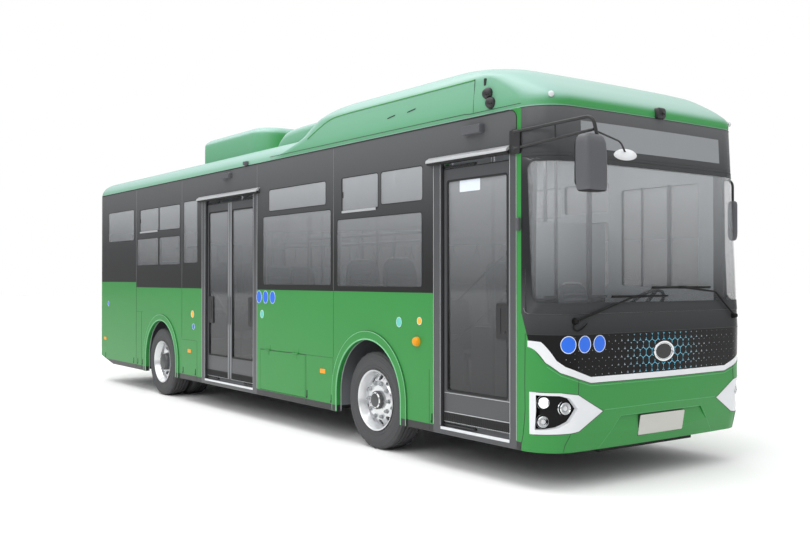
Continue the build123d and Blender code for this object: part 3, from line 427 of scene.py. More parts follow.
def rearPaint():
    # the rear wall takes the side's colours round its corners: green below, dark band above, pale lining inside; the
    # band greys upwards as painted reflection, as on the sides
    material, tree, shader, coords, tone = coachPaint("coachEnamelRear", paintValues["green"])
    split, fade = heightFactor(tree, coords, 1.6, 3.0)
    band = addNode(tree, "ShaderNodeValToRGB", {"stops": [(0.0, sideValues["bandLow"]), (1.0, sideValues["bandTop"])]},
                   [("Fac", fade, "Result")])
    above = addNode(tree, "ShaderNodeMath", {"operation": "GREATER_THAN", 1: sideValues["rearBelt"]}, [(0, split, "Z")])
    wide = addNode(tree, "ShaderNodeMath", {"operation": "ABSOLUTE"}, [(0, split, "Y")])
    flank = addNode(tree, "ShaderNodeMath", {"operation": "LESS_THAN", 1: sideValues["liningY"]}, [(0, wide, "Value")])
    # the wall's inner face begins 7.921 m behind the front axle
    fore = addNode(tree, "ShaderNodeMath", {"operation": "GREATER_THAN", 1: -7.921 + axleX}, [(0, split, "X")])
    inside = addNode(tree, "ShaderNodeMath", {"operation": "MULTIPLY"}, [(0, fore, "Value"), (1, flank, "Value")])
    upper = addNode(tree, "ShaderNodeMix", {"data_type": "RGBA"},
                    [("Factor", above, "Value"), (6, tone, 2), (7, band, 0)])
    lined = addNode(tree, "ShaderNodeMix", {"data_type": "RGBA", 7: linear(sideValues["lining"])},
                    [("Factor", inside, "Value"), (6, upper, 2)])
    tree.links.new(lined.outputs[2], shader.inputs["Base Color"])
    return material


rearMaterial = rearPaint()


def roofPaint():
    # the same enamel with painted sky reflection: green on upright faces, turning mint on faces that lie open to the
    # sky, by the way each face points
    material, tree, shader = coachPaint("coachEnamelRoofPaintedReflection", paintValues["green"])[:3]
    facing = addNode(tree, "ShaderNodeNewGeometry")
    split = addNode(tree, "ShaderNodeSeparateXYZ", {}, [("Vector", facing, "Normal")])
    flank = addNode(tree, "ShaderNodeMath", {"operation": "ABSOLUTE"}, [(0, split, "Y")])
    skyward = addNode(tree, "ShaderNodeMath", {"operation": "MULTIPLY_ADD", 1: 0.35},
                      [(0, flank, "Value"), (2, split, "Z")])
    ramp = addNode(tree, "ShaderNodeValToRGB", {"stops": [(0.1, "#3f9150"), (0.42, "#6aa283"), (0.9, "#8fb3a9")]},
                   [("Fac", skyward, "Value")])
    tree.links.new(ramp.outputs["Color"], shader.inputs["Base Color"])
    return material


roofMaterial = roofPaint()
# the number after the roughness is grains per metre: 700 is a grain of 1.4 mm. Real grain is finer, and is drawn
# this coarse so that it shows
wiperMetal = plainMaterial("powderCoatJetBlack", "#0b0b0c", 0.5, 900.0, 0.05, 0.0003,
                           {"Specular IOR Level": 0.2})                                         # darkest satin
blackMetal = plainMaterial("powderCoatBlack", "#242426", 0.42, 900.0, 0.05, 0.0003)             # fine satin texture
mirrorShell = plainMaterial("mouldedAbsGrey", "#55565a", 0.45, 700.0, 0.12, 0.0003)             # matt grained shell
doorMetal = plainMaterial("anodisedAluminiumGrey", "#4b4c4f", 0.36, 500.0, 0.04, 0.0003)        # mid grey, faint sheen
paleMetal = plainMaterial("anodisedAluminiumPale", "#c9cbcd", 0.3, 420.0, 0.04, 0.0003,
                          {"Metallic": 0.4})                                                    # light satin silver
whiteTrim = plainMaterial("sprayedAbsWhite", "#dcdee1", 0.22, 300.0, 0.02, 0.0002,
                          {"Coat Weight": 0.5}, 0.06)                                           # white, clear gloss
rubberSeal = plainMaterial("epdmRubber", "#1c1c1d", 0.72, 400.0, 0.15, 0.0005)                  # flat black
edgeRubber = plainMaterial("extrudedRubberGrey", "#808285", 0.55, 400.0, 0.12, 0.0005)          # soft mid grey
seamSeal = plainMaterial("polyurethaneSealant", "#242425", 0.6, 900.0, 0.1, 0.0003)             # dull dark line
paleSeam = plainMaterial("polyurethaneSealantGrey", "#8b8d8f", 0.5, 900.0, 0.1, 0.0003)         # dull pale line
tyreRubber = plainMaterial("tyreRubber", "#4d4d4f", 0.82, 350.0, 0.25, 0.0006)                  # dusty charcoal
wheelMetal = plainMaterial("forgedAluminiumPolished", "#e3e4e6", 0.3, 120.0, 0.03, 0.0003,
                           {"Metallic": 0.8}, 0.08)                                             # bright, hazed shine
hubMetal = plainMaterial("castSteelHub", "#5d5e60", 0.45, 260.0, 0.3, 0.0006, {"Metallic": 0.6})    # rough grey
boltMetal = plainMaterial("zincPlatedSteel", "#a9abae", 0.35, 600.0, 0.1, 0.0002, {"Metallic": 0.9})    # bright facets
castMetal = plainMaterial("paintedCastIron", "#262626", 0.6, 180.0, 0.4, 0.001)                 # dull black, coarse
seatPlastic = plainMaterial("mouldedSeatShell", "#6d7177", 0.5, 500.0, 0.15, 0.0005)            # blue grey, low sheen
deskPlastic = plainMaterial("mouldedDeskAbs", "#3f4143", 0.6, 700.0, 0.3, 0.0005)               # dark, no glare
partitionPanel = plainMaterial("laminatedPanelGrey", "#c9cbcc", 0.45, 60.0, 0.05, 0.0005)       # smooth pale grey
poleSteel = plainMaterial("brushedStainlessSteel", "#9b9da0", 0.32, 240.0, 0.05, 0.0002,
                          {"Metallic": 0.9})                                                    # brushed grey shine
liningAndReflectionWhite = plainMaterial("ceilingPanelAndPaintedReflection", "#d5d7d9", 0.6, 90.0, 0.1, 0.0005)           # even off-white
chromePlate = plainMaterial("chromePlatedZinc", "#e6e8ea", 0.1, 80.0, 0.01, 0.0002,
                            {"Metallic": 1.0}, 0.03)                                            # clear mirror
blackGloss = plainMaterial("polishedAcrylicBlack", "#111214", 0.1, 60.0, 0.01, 0.0002, {"IOR": 1.49})   # black mirror
plateMetal = plainMaterial("pressedAluminiumPlate", "#c7c6c0", 0.4, 300.0, 0.05, 0.0003,
                           {"Metallic": 0.3}, 0.08)                                             # warm white, low sheen
decalBlue = plainMaterial("vinylDecalBlue", "#1667e0", 0.35, 500.0, 0.03, 0.0002, None, 0.06)   # strong even blue
decalTeal = plainMaterial("vinylDecalTeal", "#63c8be", 0.35, 500.0, 0.03, 0.0002, None, 0.06)   # pale even teal
decalWhite = plainMaterial("vinylDecalWhite", "#e3ebf5", 0.35, 500.0, 0.03, 0.0002, None, 0.06)     # cool white
yellowPlastic = plainMaterial("mouldedAcetalYellow", "#f2b62c", 0.35, 500.0, 0.05, 0.0002, None, 0.1)   # warm yellow
amberLens = plainMaterial("acrylicLensAmber", "#f4a01a", 0.3, 90.0, 0.2, 0.0006,
                          {"IOR": 1.49, "Specular IOR Level": 0.3})                             # warm, prismed orange
redLens = plainMaterial("acrylicLensRed", "#b3161a", 0.12, 90.0, 0.2, 0.0006,
                        {"IOR": 1.49, "Coat Weight": 0.6})                                      # deep glossy red
clearLens = plainMaterial("polycarbonateLens", "#d3d6d8", 0.1, 60.0, 0.15, 0.0006,
                          {"IOR": 1.58, "Coat Weight": 0.6})                                    # pale, bright glints


def litMaterial():
    # the lit lamp behind a clear lens: even white glow
    material, tree, shader = newMaterial("frostedLensLit", {"Base Color": "#ffffff", "Emission Color": "#ffffff",
                                                            "Emission Strength": 1.2, "Roughness": 0.3})
    grainBump(tree, shader, 200.0, 0.05, 0.0003)
    return material


litLens = litMaterial()


def glassMaterial(name, alpha, stops, roughness=0.05):
    # toughened float glass, body tinted: see-through grey with a clean mirror gloss; its colour follows a ramp over
    # height
    material, tree, shader = newMaterial(name, {"Roughness": roughness, "IOR": 1.5, "Alpha": alpha})
    coords = addNode(tree, "ShaderNodeTexCoord")
    fade = heightFactor(tree, coords, 0.5, 2.9)[1]
    ramp = addNode(tree, "ShaderNodeValToRGB", {"stops": stops}, [("Fac", fade, "Result")])
    tree.links.new(ramp.outputs["Color"], shader.inputs["Base Color"])
    return material


# painted reflection of the sky: the windows and door glass darken low and pale towards the roof
glassStops = [(0.0, "#1e1e1f"), (0.25, "#3c3d3f"), (0.48, "#626466"), (0.75, "#8f9194"), (0.92, "#b3b6b9")]
sideGlass = glassMaterial("tintedSideGlass", 0.62, glassStops)
doorGlass = glassMaterial("tintedDoorGlass", 0.66, glassStops)
# the windscreen pales upwards the same way, painted reflection
frontGlass = glassMaterial("laminatedWindscreen", 0.26, [(0.4, "#5a5c5e"), (0.55, "#96999c"), (0.9, "#d0d3d6")])
partitionGlass = glassMaterial("laminatedScreenPanel", 0.7, [(0.0, "#333537"), (0.4, "#4a4c4e"), (0.41, "#b4b8bb"),
                                                             (1.0, "#d0d3d5")])
destinationGlass = glassMaterial("smokedDisplayGlass", 1.0, [(0.3, "#808386"), (0.95, "#8b8e91")], 0.15)


def fabricMaterial():
    # woven moquette, drawn at 8 mm so that it shows: soft nap, no gloss
    material, tree, shader = newMaterial("wovenMoquetteGrey", {"Roughness": 0.95, "Sheen Weight": 0.3})
    coords = addNode(tree, "ShaderNodeTexCoord")
    weave = addNode(tree, "ShaderNodeTexWave", {"Scale": 40.0, "Distortion": 2.0, "Detail": 1.0},
                    [("Vector", coords, "Object")])
    ramp = addNode(tree, "ShaderNodeValToRGB", {"stops": [(0.2, "#55585d"), (0.8, "#74787e")]},
                   [("Fac", weave, "Fac")])
    tree.links.new(ramp.outputs["Color"], shader.inputs["Base Color"])
    bump = addNode(tree, "ShaderNodeBump", {"Strength": 0.3, "Distance": 0.001}, [("Height", weave, "Fac")])
    tree.links.new(bump.outputs["Normal"], shader.inputs["Normal"])
    return material


moquette = fabricMaterial()


def printMaterial():
    # screen-printed enamel dots: pale blue by the middle, fading to grey outwards
    material, tree, shader = newMaterial("screenPrintBlue", {"Roughness": 0.3, "IOR": 1.5})
    coords = grainBump(tree, shader, 200.0, 0.02, 0.0002)[0]
    split = addNode(tree, "ShaderNodeSeparateXYZ", {}, [("Vector", coords, "Object")])
    away = addNode(tree, "ShaderNodeMath", {"operation": "ABSOLUTE"}, [(0, split, "Y")])
    ramp = addNode(tree, "ShaderNodeValToRGB", {"stops": [
        (0.0, "#58c6ea"), (0.3, "#7fc9e2"), (0.5, "#b3bec4"), (0.9, "#8e9295")]}, [("Fac", away, "Value")])
    tree.links.new(ramp.outputs["Color"], shader.inputs["Base Color"])
    return material


screenPrint = printMaterial()


def deckMaterial():
    # flecked safety vinyl above; below the deck painted shade, near black
    material, tree, shader = newMaterial("safetyVinylAndPaintedShade", {"Roughness": 0.75})
    coords = grainBump(tree, shader, 600.0, 0.3, 0.0006)[0]
    fade = heightFactor(tree, coords, 0.0, 1.0)[1]
    # the colour changes 0.362 m above the road, just under the top of the deck
    ramp = addNode(tree, "ShaderNodeValToRGB", {"stops": [(0.0, "#121213"), (0.362, "#7b7e82")]},
                   [("Fac", fade, "Result")])
    ramp.color_ramp.interpolation = "CONSTANT"
    tree.links.new(ramp.outputs["Color"], shader.inputs["Base Color"])
    return material


deckVinylAndPaintedShade = deckMaterial()

nodeMaterials = {
    "side_wall_right": sideMaterial, "side_wall_left": sideMaterial, "rear_wall": rearMaterial,
    "roof_shell": greenPaint, "roof_fairing": greenPaint, "roof_pod": greenPaint, "front_bumper": greenPaint,
    "engine_lid": greenPaint, "service_flap": greenPaint, "front_trim": whiteTrim, "grille_panel": panelMaterial,
    "front_mask": maskMaterial, "front_glass": frontGlass, "body_windows": sideGlass, "door_frames": doorMetal,
    "lamps": blackGloss, "floor_deck": deckVinylAndPaintedShade, "engine_block": castMetal, "front_axle": castMetal,
    "rear_axle": castMetal, "seats": seatPlastic, "driver_desk": deskPlastic, "partition": partitionGlass,
    "handrails": poleSteel, "mirrors": blackMetal, "wipers": wiperMetal, "knuckle_right": castMetal,
    "knuckle_left": castMetal}
for side in ("right", "left"):
    nodeMaterials["wheel_front_" + side] = wheelMetal
    nodeMaterials["wheels_rear_" + side] = wheelMetal
    nodeMaterials["tyre_front_" + side] = tyreRubber
    nodeMaterials["tyres_rear_" + side] = tyreRubber
for leaf in ("front", "mid_rear", "mid_fore"):
    nodeMaterials["door_leaf_" + leaf] = doorMetal
    nodeMaterials["door_glass_" + leaf] = doorGlass
    nodeMaterials["door_arm_" + leaf] = blackMetal
for name, material in nodeMaterials.items():
    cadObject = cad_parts[name]
    cadObject.data.materials.clear()
    cadObject.data.materials.append(material)
print("materials set")

# studio: pale floor, soft light all round and from above
studioValues = {"floor": "#fcfcfc", "sky": "#ffffff", "skyMiddle": "#a6a8aa", "skyLow": "#303132", "skyStrength": 1.15}
world = bpy.data.worlds.new("studio")
bpy.context.scene.world = world
world.use_nodes = True
skyTree = world.node_tree
soft = skyTree.nodes["Background"]
skyCoords = addNode(skyTree, "ShaderNodeTexCoord")
skySplit = addNode(skyTree, "ShaderNodeSeparateXYZ", {}, [("Vector", skyCoords, "Generated")])
skyRamp = addNode(skyTree, "ShaderNodeValToRGB", {"stops": [
    (0.0, studioValues["skyLow"]), (0.16, studioValues["skyMiddle"]), (0.5, studioValues["sky"])]},
                  [("Fac", skySplit, "Z")])
skyTree.links.new(skyRamp.outputs["Color"], soft.inputs["Color"])
soft.inputs["Strength"].default_value = studioValues["skyStrength"]
# the backdrop itself is lit to plain white
backdrop = addNode(skyTree, "ShaderNodeBackground", {"Color": linear(studioValues["sky"]), "Strength": 1.0})
lightPath = addNode(skyTree, "ShaderNodeLightPath")
skyMix = addNode(skyTree, "ShaderNodeMixShader", {}, [("Fac", lightPath, "Is Camera Ray"), (1, soft, "Background"),
                                                      (2, backdrop, "Background")])
skyTree.links.new(skyMix.outputs["Shader"], skyTree.nodes["World Output"].inputs["Surface"])
bpy.context.scene.view_settings.view_transform = "Standard"


def areaLight(name, place, aim, size, power, colour="#ffffff"):
    light = bpy.data.lights.new(name, "AREA")
    light.shape = "RECTANGLE"
    light.size, light.size_y = size
    light.energy = power
    light.color = linear(colour)[:3]
    holder = bpy.data.objects.new(name, light)
    holder.location = place
    holder.rotation_euler = (Vector(aim) - Vector(place)).to_track_quat("-Z", "Y").to_euler()
    bpy.context.scene.collection.objects.link(holder)


areaLight("topSoftbox", (0, -3, 12), (0, 0, 1), (16, 8), 900)
areaLight("keySoftbox", (6, -13, 9), (0, 0, 1.5), (14, 6), 420)
areaLight("cabinLight", (0.5, 0.0, 3.1), (0.5, 0, 0), (8.6, 1.2), 80)

# rolled emulsion paint: near white, no gloss
floorMaterial, floorTree, floorShader = newMaterial("paintedStudioFloor", {
    "Base Color": studioValues["floor"], "Roughness": 0.9, "Specular IOR Level": 0.1})
grainBump(floorTree, floorShader, 4.0, 0.02, 0.002)
floorMesh = bpy.data.meshes.new("studioFloor")
floorMesh.from_pydata([(-90, -90, 0), (90, -90, 0), (90, 90, 0), (-90, 90, 0)], [], [(0, 1, 2, 3)])
floor = bpy.data.objects.new("studioFloor", floorMesh)
floor.data.materials.append(floorMaterial)
bpy.context.scene.collection.objects.link(floor)
print("studio set")

# tyres: ribbed tread, notched shoulders and ringed sidewalls
wheelValues = {"radius": 478.5, "width": 276.0, "pitch": 310.0, "rearX": -5380.0, "frontFace": 1215.0,
               "rearFace": 1245.0, "segments": 112, "nuts": 10, "nutR": 167, "hubBolts": 8}
halfTyre = [(299, 108), (303, 120), (311, 126), (316, 126), (322, 130), (338, 132.5), (341, 130.5), (346, 130.5),
            (350, 134), (383, 137.5), (402, 137.5), (405, 135.5), (409, 135.5), (412, 137), (430, 133.5),
            (446, 129.5), (451, 129.5), (456, 124), (466, 119), (474, 112), (478, 101), (478.5, 73), (465, 70.5),
            (465, 62.5), (478.5, 60), (478.5, 29), (465, 26.5), (465, 18.5), (478.5, 16)]
tyreProfile = halfTyre + [(r, -v) for r, v in reversed(halfTyre)]
wheelTable = [("FrontRight", "front_right_wheel", 0.0, -1, wheelValues["frontFace"], 1, "tyre_front_right"),
              ("FrontLeft", "front_left_wheel", 0.0, 1, wheelValues["frontFace"], 1, "tyre_front_left"),
              ("RearRight", "rear_right_wheels", wheelValues["rearX"], -1, wheelValues["rearFace"], 2,
               "tyres_rear_right"),
              ("RearLeft", "rear_left_wheels", wheelValues["rearX"], 1, wheelValues["rearFace"], 2, "tyres_rear_left")]


def addTyre(mesh, x, y):
    rows = addLathe(mesh, tyreProfile, (x, y, wheelValues["radius"]), (0, 1, 0), wheelValues["segments"], ring=True)
    axis = Vector((x, y, wheelValues["radius"]))
    for (radius, along), row in zip(tyreProfile, rows):
        if radius > 455 and abs(along) > 98:
            for i, vertex in enumerate(row):
                if i % 4 == 0:                       # one shoulder notch in four steps, about 27 mm wide
                    reach = vertex.co - axis
                    reach.y = 0
                    vertex.co -= reach.normalized() * 7


for name, body, x, side, face, count, node in wheelTable:
    tyres = bmesh.new()
    for k in range(count):
        addTyre(tyres, x, side * (face - wheelValues["width"] / 2 - k * wheelValues["pitch"]))
    newPiece("tyre" + name, tyres, tyreRubber, body, smooth=28, replaced=(node,))
    # nuts on their studs, hub cover with its small bolts, valve
    nuts = bmesh.new()
    nutSeat = 56.0 if count == 1 else 150.0          # how far in from the tyre's outer face
    for i in range(wheelValues["nuts"]):
        a = 2 * math.pi * i / wheelValues["nuts"]
        centre = (x + wheelValues["nutR"] * math.cos(a), side * (face - nutSeat),
                  wheelValues["radius"] + wheelValues["nutR"] * math.sin(a))
        addLathe(nuts, [(25, -3), (25, 3), (19, 4), (19, 20), (15, 24), (11, 24), (11, 33), (0, 34)], centre,
                 (0, side, 0), 6)
    newPiece("wheelNuts" + name, nuts, boltMetal, body, bevel=0.8)
    hub = bmesh.new()
    centre = (x, side * face, wheelValues["radius"])
    hubShape = [(0, -1), (52, -1), (60, -4), (66, -4), (70, -7), (87, -15), (90, -22), (90, -54), (104, -56),
                (104, -62), (80, -62)]
    if count == 2:
        hubShape = [(0, -12), (66, -12), (74, -16), (96, -17), (112, -28), (118, -40), (118, -120), (132, -126),
                    (132, -150), (110, -152)]
    addLathe(hub, hubShape, centre, (0, side, 0), 40)
    reachR = 77 if count == 1 else 104
    back = -9 if count == 1 else -21
    for i in range(wheelValues["hubBolts"]):
        a = 2 * math.pi * (i + 0.5) / wheelValues["hubBolts"]
        spot = (x + reachR * math.cos(a), side * (face + back), wheelValues["radius"] + reachR * math.sin(a))
        addLathe(hub, [(7, -6), (7, 3), (5, 5), (0, 5)], spot, (0, side, 0), 6)
    newPiece("hubCover" + name, hub, hubMetal, body)
    rimRing = bmesh.new()
    addLathe(rimRing, [(297, -14), (300, -10), (299, -5), (295, -4), (288, -8), (284, -16)], centre, (0, side, 0), 72,
             ring=True)
    valve = Vector((x, side * (face - 40), wheelValues["radius"] + 262))
    addTube(rimRing, [valve, valve + Vector((0, side * 26, -8))], 5)
    newPiece("rimEdge" + name, rimRing, wheelMetal, body)
print("wheels dressed")

# side panels: seams, gutter rubber, arch lips painted pale as highlights, window seals and small fittings
sideDetails = {"half": 1275.0, "seams": [-662, -2370, -4589, -6318], "archX": (-25.0, -5335.0), "archZ": 515.0,
               "archR": 560.0, "skirtZ": 307.0}
rightWindows = [(-508, 150, 2357, 2700), (201, 861, 2387, 2700), (-590, 850, 1597, 2279), (-2073, -815, 2453, 2700),
                (-2215, -715, 1605, 2395), (-4523, -4076, 1886, 2723), (-6176, -5437, 2371, 2705),
                (-5400, -4660, 2371, 2705), (-6276, -5454, 1873, 2269), (-5400, -4665, 1873, 2269),
                (-7562, -6428, 2264, 2733)]
leftWindows = [(1020, 1990, 1597, 2600), (-508, 150, 2357, 2700), (201, 861, 2387, 2700), (-590, 850, 1597, 2279),
               (-2073, -815, 2453, 2700), (-2215, -715, 1605, 2395), (-3915, -2465, 1605, 2395),
               (-3773, -2540, 2453, 2700), (-6176, -5437, 2371, 2705), (-5400, -4200, 2371, 2705),
               (-6276, -5454, 1873, 2269), (-5400, -4200, 1873, 2269), (-7562, -6428, 2264, 2733)]


def sideLine(mesh, side, points, radius, sides=6):
    addTube(mesh, [(x, side * sideDetails["half"], z) for x, z in points], radius, sides)


def archPath(x, grow, foot):
    # up one side of a wheel arch, round it and down the other
    radius = sideDetails["archR"] + grow
    arc = [(x + radius * math.cos(a), sideDetails["archZ"] + radius * math.sin(a))
           for a in (math.pi * k / 40 for k in range(41))]
    return [(arc[0][0], foot)] + arc + [(arc[-1][0], foot)]


darkSeams, paleSeams, windowSeals, gutters, lips = (bmesh.new() for _ in range(5))
for side, windows in ((-1, rightWindows), (1, leftWindows)):
    for x in sideDetails["seams"]:
        sideLine(paleSeams, side, [(x, 1552 if x > -6000 else 1630), (x, 3026)], 2.2)
        low = 862 if x > -6000 else 320
        if not (side < 0 and x == -2370):
            sideLine(darkSeams, side, [(x, low), (x, 1540 if x > -6000 else 1618)], 1.8)
    for x0, x1, z0, z1 in windows:
        addFrame(windowSeals, roundedOutline(x0 - 5, x1 + 5, z0 - 5, z1 + 5, 33),
                 roundedOutline(x0 + 3, x1 - 3, z0 + 3, z1 - 3, 25), "y", side * 1271, side * 1276.2)
    sideLine(gutters, side, [(-7880, 3036), (2020, 3036)], 6.5, 8)
    for x in sideDetails["archX"]:
        for grow, thick, out in ((6, 8, 12), (83, 3.5, 13)):
            addTube(lips, [(u, side * (sideDetails["half"] + out), v)
                           for u, v in archPath(x, grow, sideDetails["skirtZ"] + 4)], thick, 8)
        sideLine(darkSeams, side, archPath(x, 88, 310), 2.5)
# service lines and skirt breaks
for points in ([(-2290, 851), (-1223, 851)], [(-1223, 320), (-1223, 851), (-670, 851)], [(-4580, 846), (-4082, 846)],
               [(-6318, 1180), (-6030, 1180)], [(-6100, 320), (-6100, 1180)], [(-4082, 320), (-4082, 846)],
               [(960, 320), (960, 860)], [(-670, 320), (-670, 851)]):
    sideLine(darkSeams, -1, points, 1.8)
for points in ([(-4400, 320), (-4400, 900), (-3300, 900), (-3300, 320)], [(-3300, 900), (-2200, 900), (-2200, 320)],
               [(-2200, 900), (-1100, 900), (-1100, 320)], [(1020, 320), (1020, 1560)], [(-6318, 700), (-7700, 700)]):
    sideLine(darkSeams, 1, points, 1.8)
newPiece("panelSeams", darkSeams, seamSeal)
newPiece("bandSeams", paleSeams, paleSeam)
newPiece("windowSeals", windowSeals, rubberSeal)
corners = bmesh.new()
for side in (-1, 1):
    arc = [(2034 + 70 * math.sin(a), 2960 + 70 * math.cos(a)) for a in (math.pi / 2 * k / 10 for k in range(11))]
    addPrism(corners, [(2106, 3042)] + [(2034, 3042)] + arc + [(2106, 2960)], "y", side * 1272, side * 1276)
    sideLine(gutters, side, [(2020, 3036)] + [(x, z + 3) for x, z in arc] + [(2105, 2700)], 4.5, 8)
newPiece("gutterRubber", gutters, rubberSeal)
newPiece("bandCorners", corners, greenPaint)
newPiece("archLipHighlights", lips, lipHighlightPaint)

# sliding top panes: dark pull edge, pale lower rail and latch
slideFrames, slideEdges = bmesh.new(), bmesh.new()
for side in (-1, 1):
    for x0, x1, z0, z1 in ((-508, 150, 2357, 2700), (-6176, -5437, 2371, 2705)):
        addBox(slideEdges, x0 - 2, x0 + 20, side * 1270, side * 1278, z0 + 2, z1 - 4)
        addBox(slideEdges, x0 + 22, x0 + 36, side * 1270, side * 1281, (z0 + z1) / 2 - 30, (z0 + z1) / 2 + 30)
        addBox(slideEdges, x1 - 34, x1 - 14, side * 1270, side * 1280, z0 - 2, z0 + 14)
        addBox(slideFrames, x0 + 6, x1 - 40, side * 1270, side * 1279, z0 - 14, z0 + 8)
newPiece("slidingPaneRails", slideFrames, paleMetal, bevel=2)
newPiece("slidingPaneEdges", slideEdges, rubberSeal, bevel=2)

# round buttons, blank discs, reflectors and latches; a disc is x, z, half its width and half its height
smallDiscs = {"doorButtons": (yellowPlastic, [(815, 1288, 34, 34), (-4231, 1200, 46, 46)]),
              "tealDiscs": (decalTeal, [(497, 1267, 40, 46), (-2241, 1260, 40, 46)]),
              "blueDiscs": (decalBlue, [(-4197, 1034, 38, 38), (-7573, 1271, 28, 40), (-2317, 1460, 62, 72),
                                        (-2155, 1460, 62, 72), (-1984, 1460, 62, 72)])}
for name, (material, rows) in smallDiscs.items():
    discs = bmesh.new()
    for x, z, wide, tall in rows:
        for grow, low, high in ((1.0, 1274.5, 1276.0), (0.86, 1275.5, 1276.8)):
            addPrism(discs, ovalOutline(x, z, wide * grow, tall * grow), "y", -low, -high)
    newPiece(name, discs, material)
rims = bmesh.new()
for _, rows in smallDiscs.values():
    for x, z, wide, tall in rows:
        addTube(rims, [(u, -1276, v) for u, v in ovalOutline(x, z, wide, tall)], 2.2, 6, closed=True)
newPiece("discRims", rims, decalWhite)
reflectors = bmesh.new()
for side in (-1, 1):
    for x in (-869, -4327, -7713):
        addPrism(reflectors, roundedOutline(x - 55, x + 55, 676, 724, 8), "y", side * 1274, side * 1281)
addLathe(reflectors, [(44, -2), (44, 14), (38, 34), (24, 46), (0, 50)], (785, -1275, 1100), (0, -1, 0), 32)
newPiece("sideReflectors", reflectors, amberLens, bevel=2)
latches = bmesh.new()
for side, stations in ((-1, (-7700, -6420, -6250, -6060, -4540, -4130, 1000, -1200, -700)),
                       (1, (-7700, -6420, -4130, -3240, -2260, -1160, 980))):
    for x in stations:
        addPrism(latches, roundedOutline(x - 8, x + 8, 392, 470, 6), "y", side * 1274, side * 1277.5)
        addPrism(latches, roundedOutline(x - 16, x + 2, 384, 408, 6), "y", side * 1274, side * 1279)
newPiece("skirtLatches", latches, rubberSeal, bevel=1)
sensors = bmesh.new()
for x, z, wide, tall, out in ((-3155, 2960, 110, 34, 50), (1593, 2930, 120, 40, 54), (-2633, 3066, 34, 26, 44),
                              (2131, 2109, 20, 52, 30)):
    rows = []
    for w, shrink in ((1272, 0), (1275 + out * 0.6, 0), (1275 + out, 6)):
        rows.append([(u, -w, v) for u, v in roundedOutline(x - wide + shrink, x + wide - shrink, z - tall + shrink,
                                                           z + tall - shrink, 10)])
    addLoft(sensors, rows)
newPiece("sideSensors", sensors, mirrorShell, bevel=1)
print("sides dressed")

# doors: seals, pull plates, kick and brush strips; they ride on their leaf
leafTable = [("Front", "door_leaf_front", 1129.0, 2013.0, 1), ("MidRear", "door_leaf_mid_rear", -3826.0, -3157.5, 1),
             ("MidFore", "door_leaf_mid_fore", -3145.5, -2477.0, -1)]
doorValues = {"outer": 1245.0, "inner": 1209.0, "glassLow": 690.0, "glassHigh": 2533.0, "stile": 52.0}
for name, body, x0, x1, way in leafTable:
    seals, pales, plates, kicks, strips = (bmesh.new() for _ in range(5))
    outer = -doorValues["outer"]
    g0, g1 = x0 + doorValues["stile"], x1 - doorValues["stile"]
    addFrame(seals, roundedOutline(g0 - 8, g1 + 8, doorValues["glassLow"] - 8, doorValues["glassHigh"] + 8, 30),
             roundedOutline(g0 + 9, g1 - 9, doorValues["glassLow"] + 9, doorValues["glassHigh"] - 9, 16), "y",
             outer + 10, outer - 1.8)
    addFrame(seals, roundedOutline(x0 + 1, x1 - 1, 413, 2643, 6), roundedOutline(x0 + 11, x1 - 11, 423, 2633, 6), "y",
             outer + 6, outer - 1.2)
    # brush strip along the foot, its tufts about 24 mm apart
    addBox(seals, x0 + 12, x1 - 12, outer - 2.5, outer + 4, 424, 498)
    for k in range(int((x1 - x0 - 40) / 24)):
        addBox(seals, x0 + 20 + k * 24, x0 + 34 + k * 24, outer - 5, outer, 420, 484)
    addBox(kicks, x0 + 14, x1 - 14, outer - 2.0, outer + 4, 416, 423)
    addBox(pales, x0 + 12, x1 - 12, outer - 2.2, outer + 4, 500, 506)
    addBox(pales, x0 + 14, x1 - 14, outer - 1.6, outer + 4, 668, 673)
    lead = x1 if way > 0 else x0
    if name == "Front":
        addPrism(plates, roundedOutline(1826, 1964, 1175, 1473, 26), "y", outer - 4, outer + 14)
        addPrism(plates, roundedOutline(1852, 1884, 1215, 1433, 15), "y", outer - 8, outer - 2)
        addLathe(plates, [(17, 0), (17, 3), (12, 6), (0, 6)], (1926, outer - 3, 1236), (0, -1, 0), 20)
    else:
        trail = g0 + 66 if way > 0 else g1 - 66
        addPrism(plates, roundedOutline(trail - 58, trail + 58, 1100, 1450, 24), "y", outer - 3, outer + 14)
        addPrism(plates, roundedOutline(trail - 16, trail + 16, 1150, 1400, 15), "y", outer - 7, outer - 1)
        # soft pale edge strip where the two leaves meet
        edge = sorted((lead - way * 3, lead - way * 46))
        addPrism(strips, roundedOutline(edge[0], edge[1], 424, 2632, 5), "y", outer - 7, outer + 4)
        addBox(seals, *sorted((lead + way * 1.5, lead - way * 3)), outer - 2, outer + 30, 430, 2630)
    newPiece("doorSeals" + name, seals, rubberSeal, body, bevel=1)
    newPiece("doorStrips" + name, pales, doorMetal if name != "Front" else paleMetal, body, bevel=1)
    newPiece("doorPlates" + name, plates, blackMetal, body, bevel=2)
    newPiece("doorKicks" + name, kicks, paleMetal, body, bevel=1)
    if name == "Front":
        strips.free()
    else:
        newPiece("doorEdges" + name, strips, edgeRubber, body, bevel=3)
    # grab rails across the inside of the glass
    rails = bmesh.new()
    inner = -doorValues["inner"]
    for z0, z1 in ((1130, 1560), (1480, 1900)) if name == "Front" else ((1500, 1130),):
        u0, u1 = (g0 + 30, g1 - 30) if way > 0 else (g1 - 30, g0 + 30)
        run = (u1 - u0) * 0.03
        addTube(rails, bend([(u0, inner - 2, z0), (u0 + run, inner + 26, z0), (u1 - run, inner + 26, z1),
                             (u1, inner - 2, z1)], 30), 11)
    newPiece("doorRails" + name, rails, poleSteel, body)
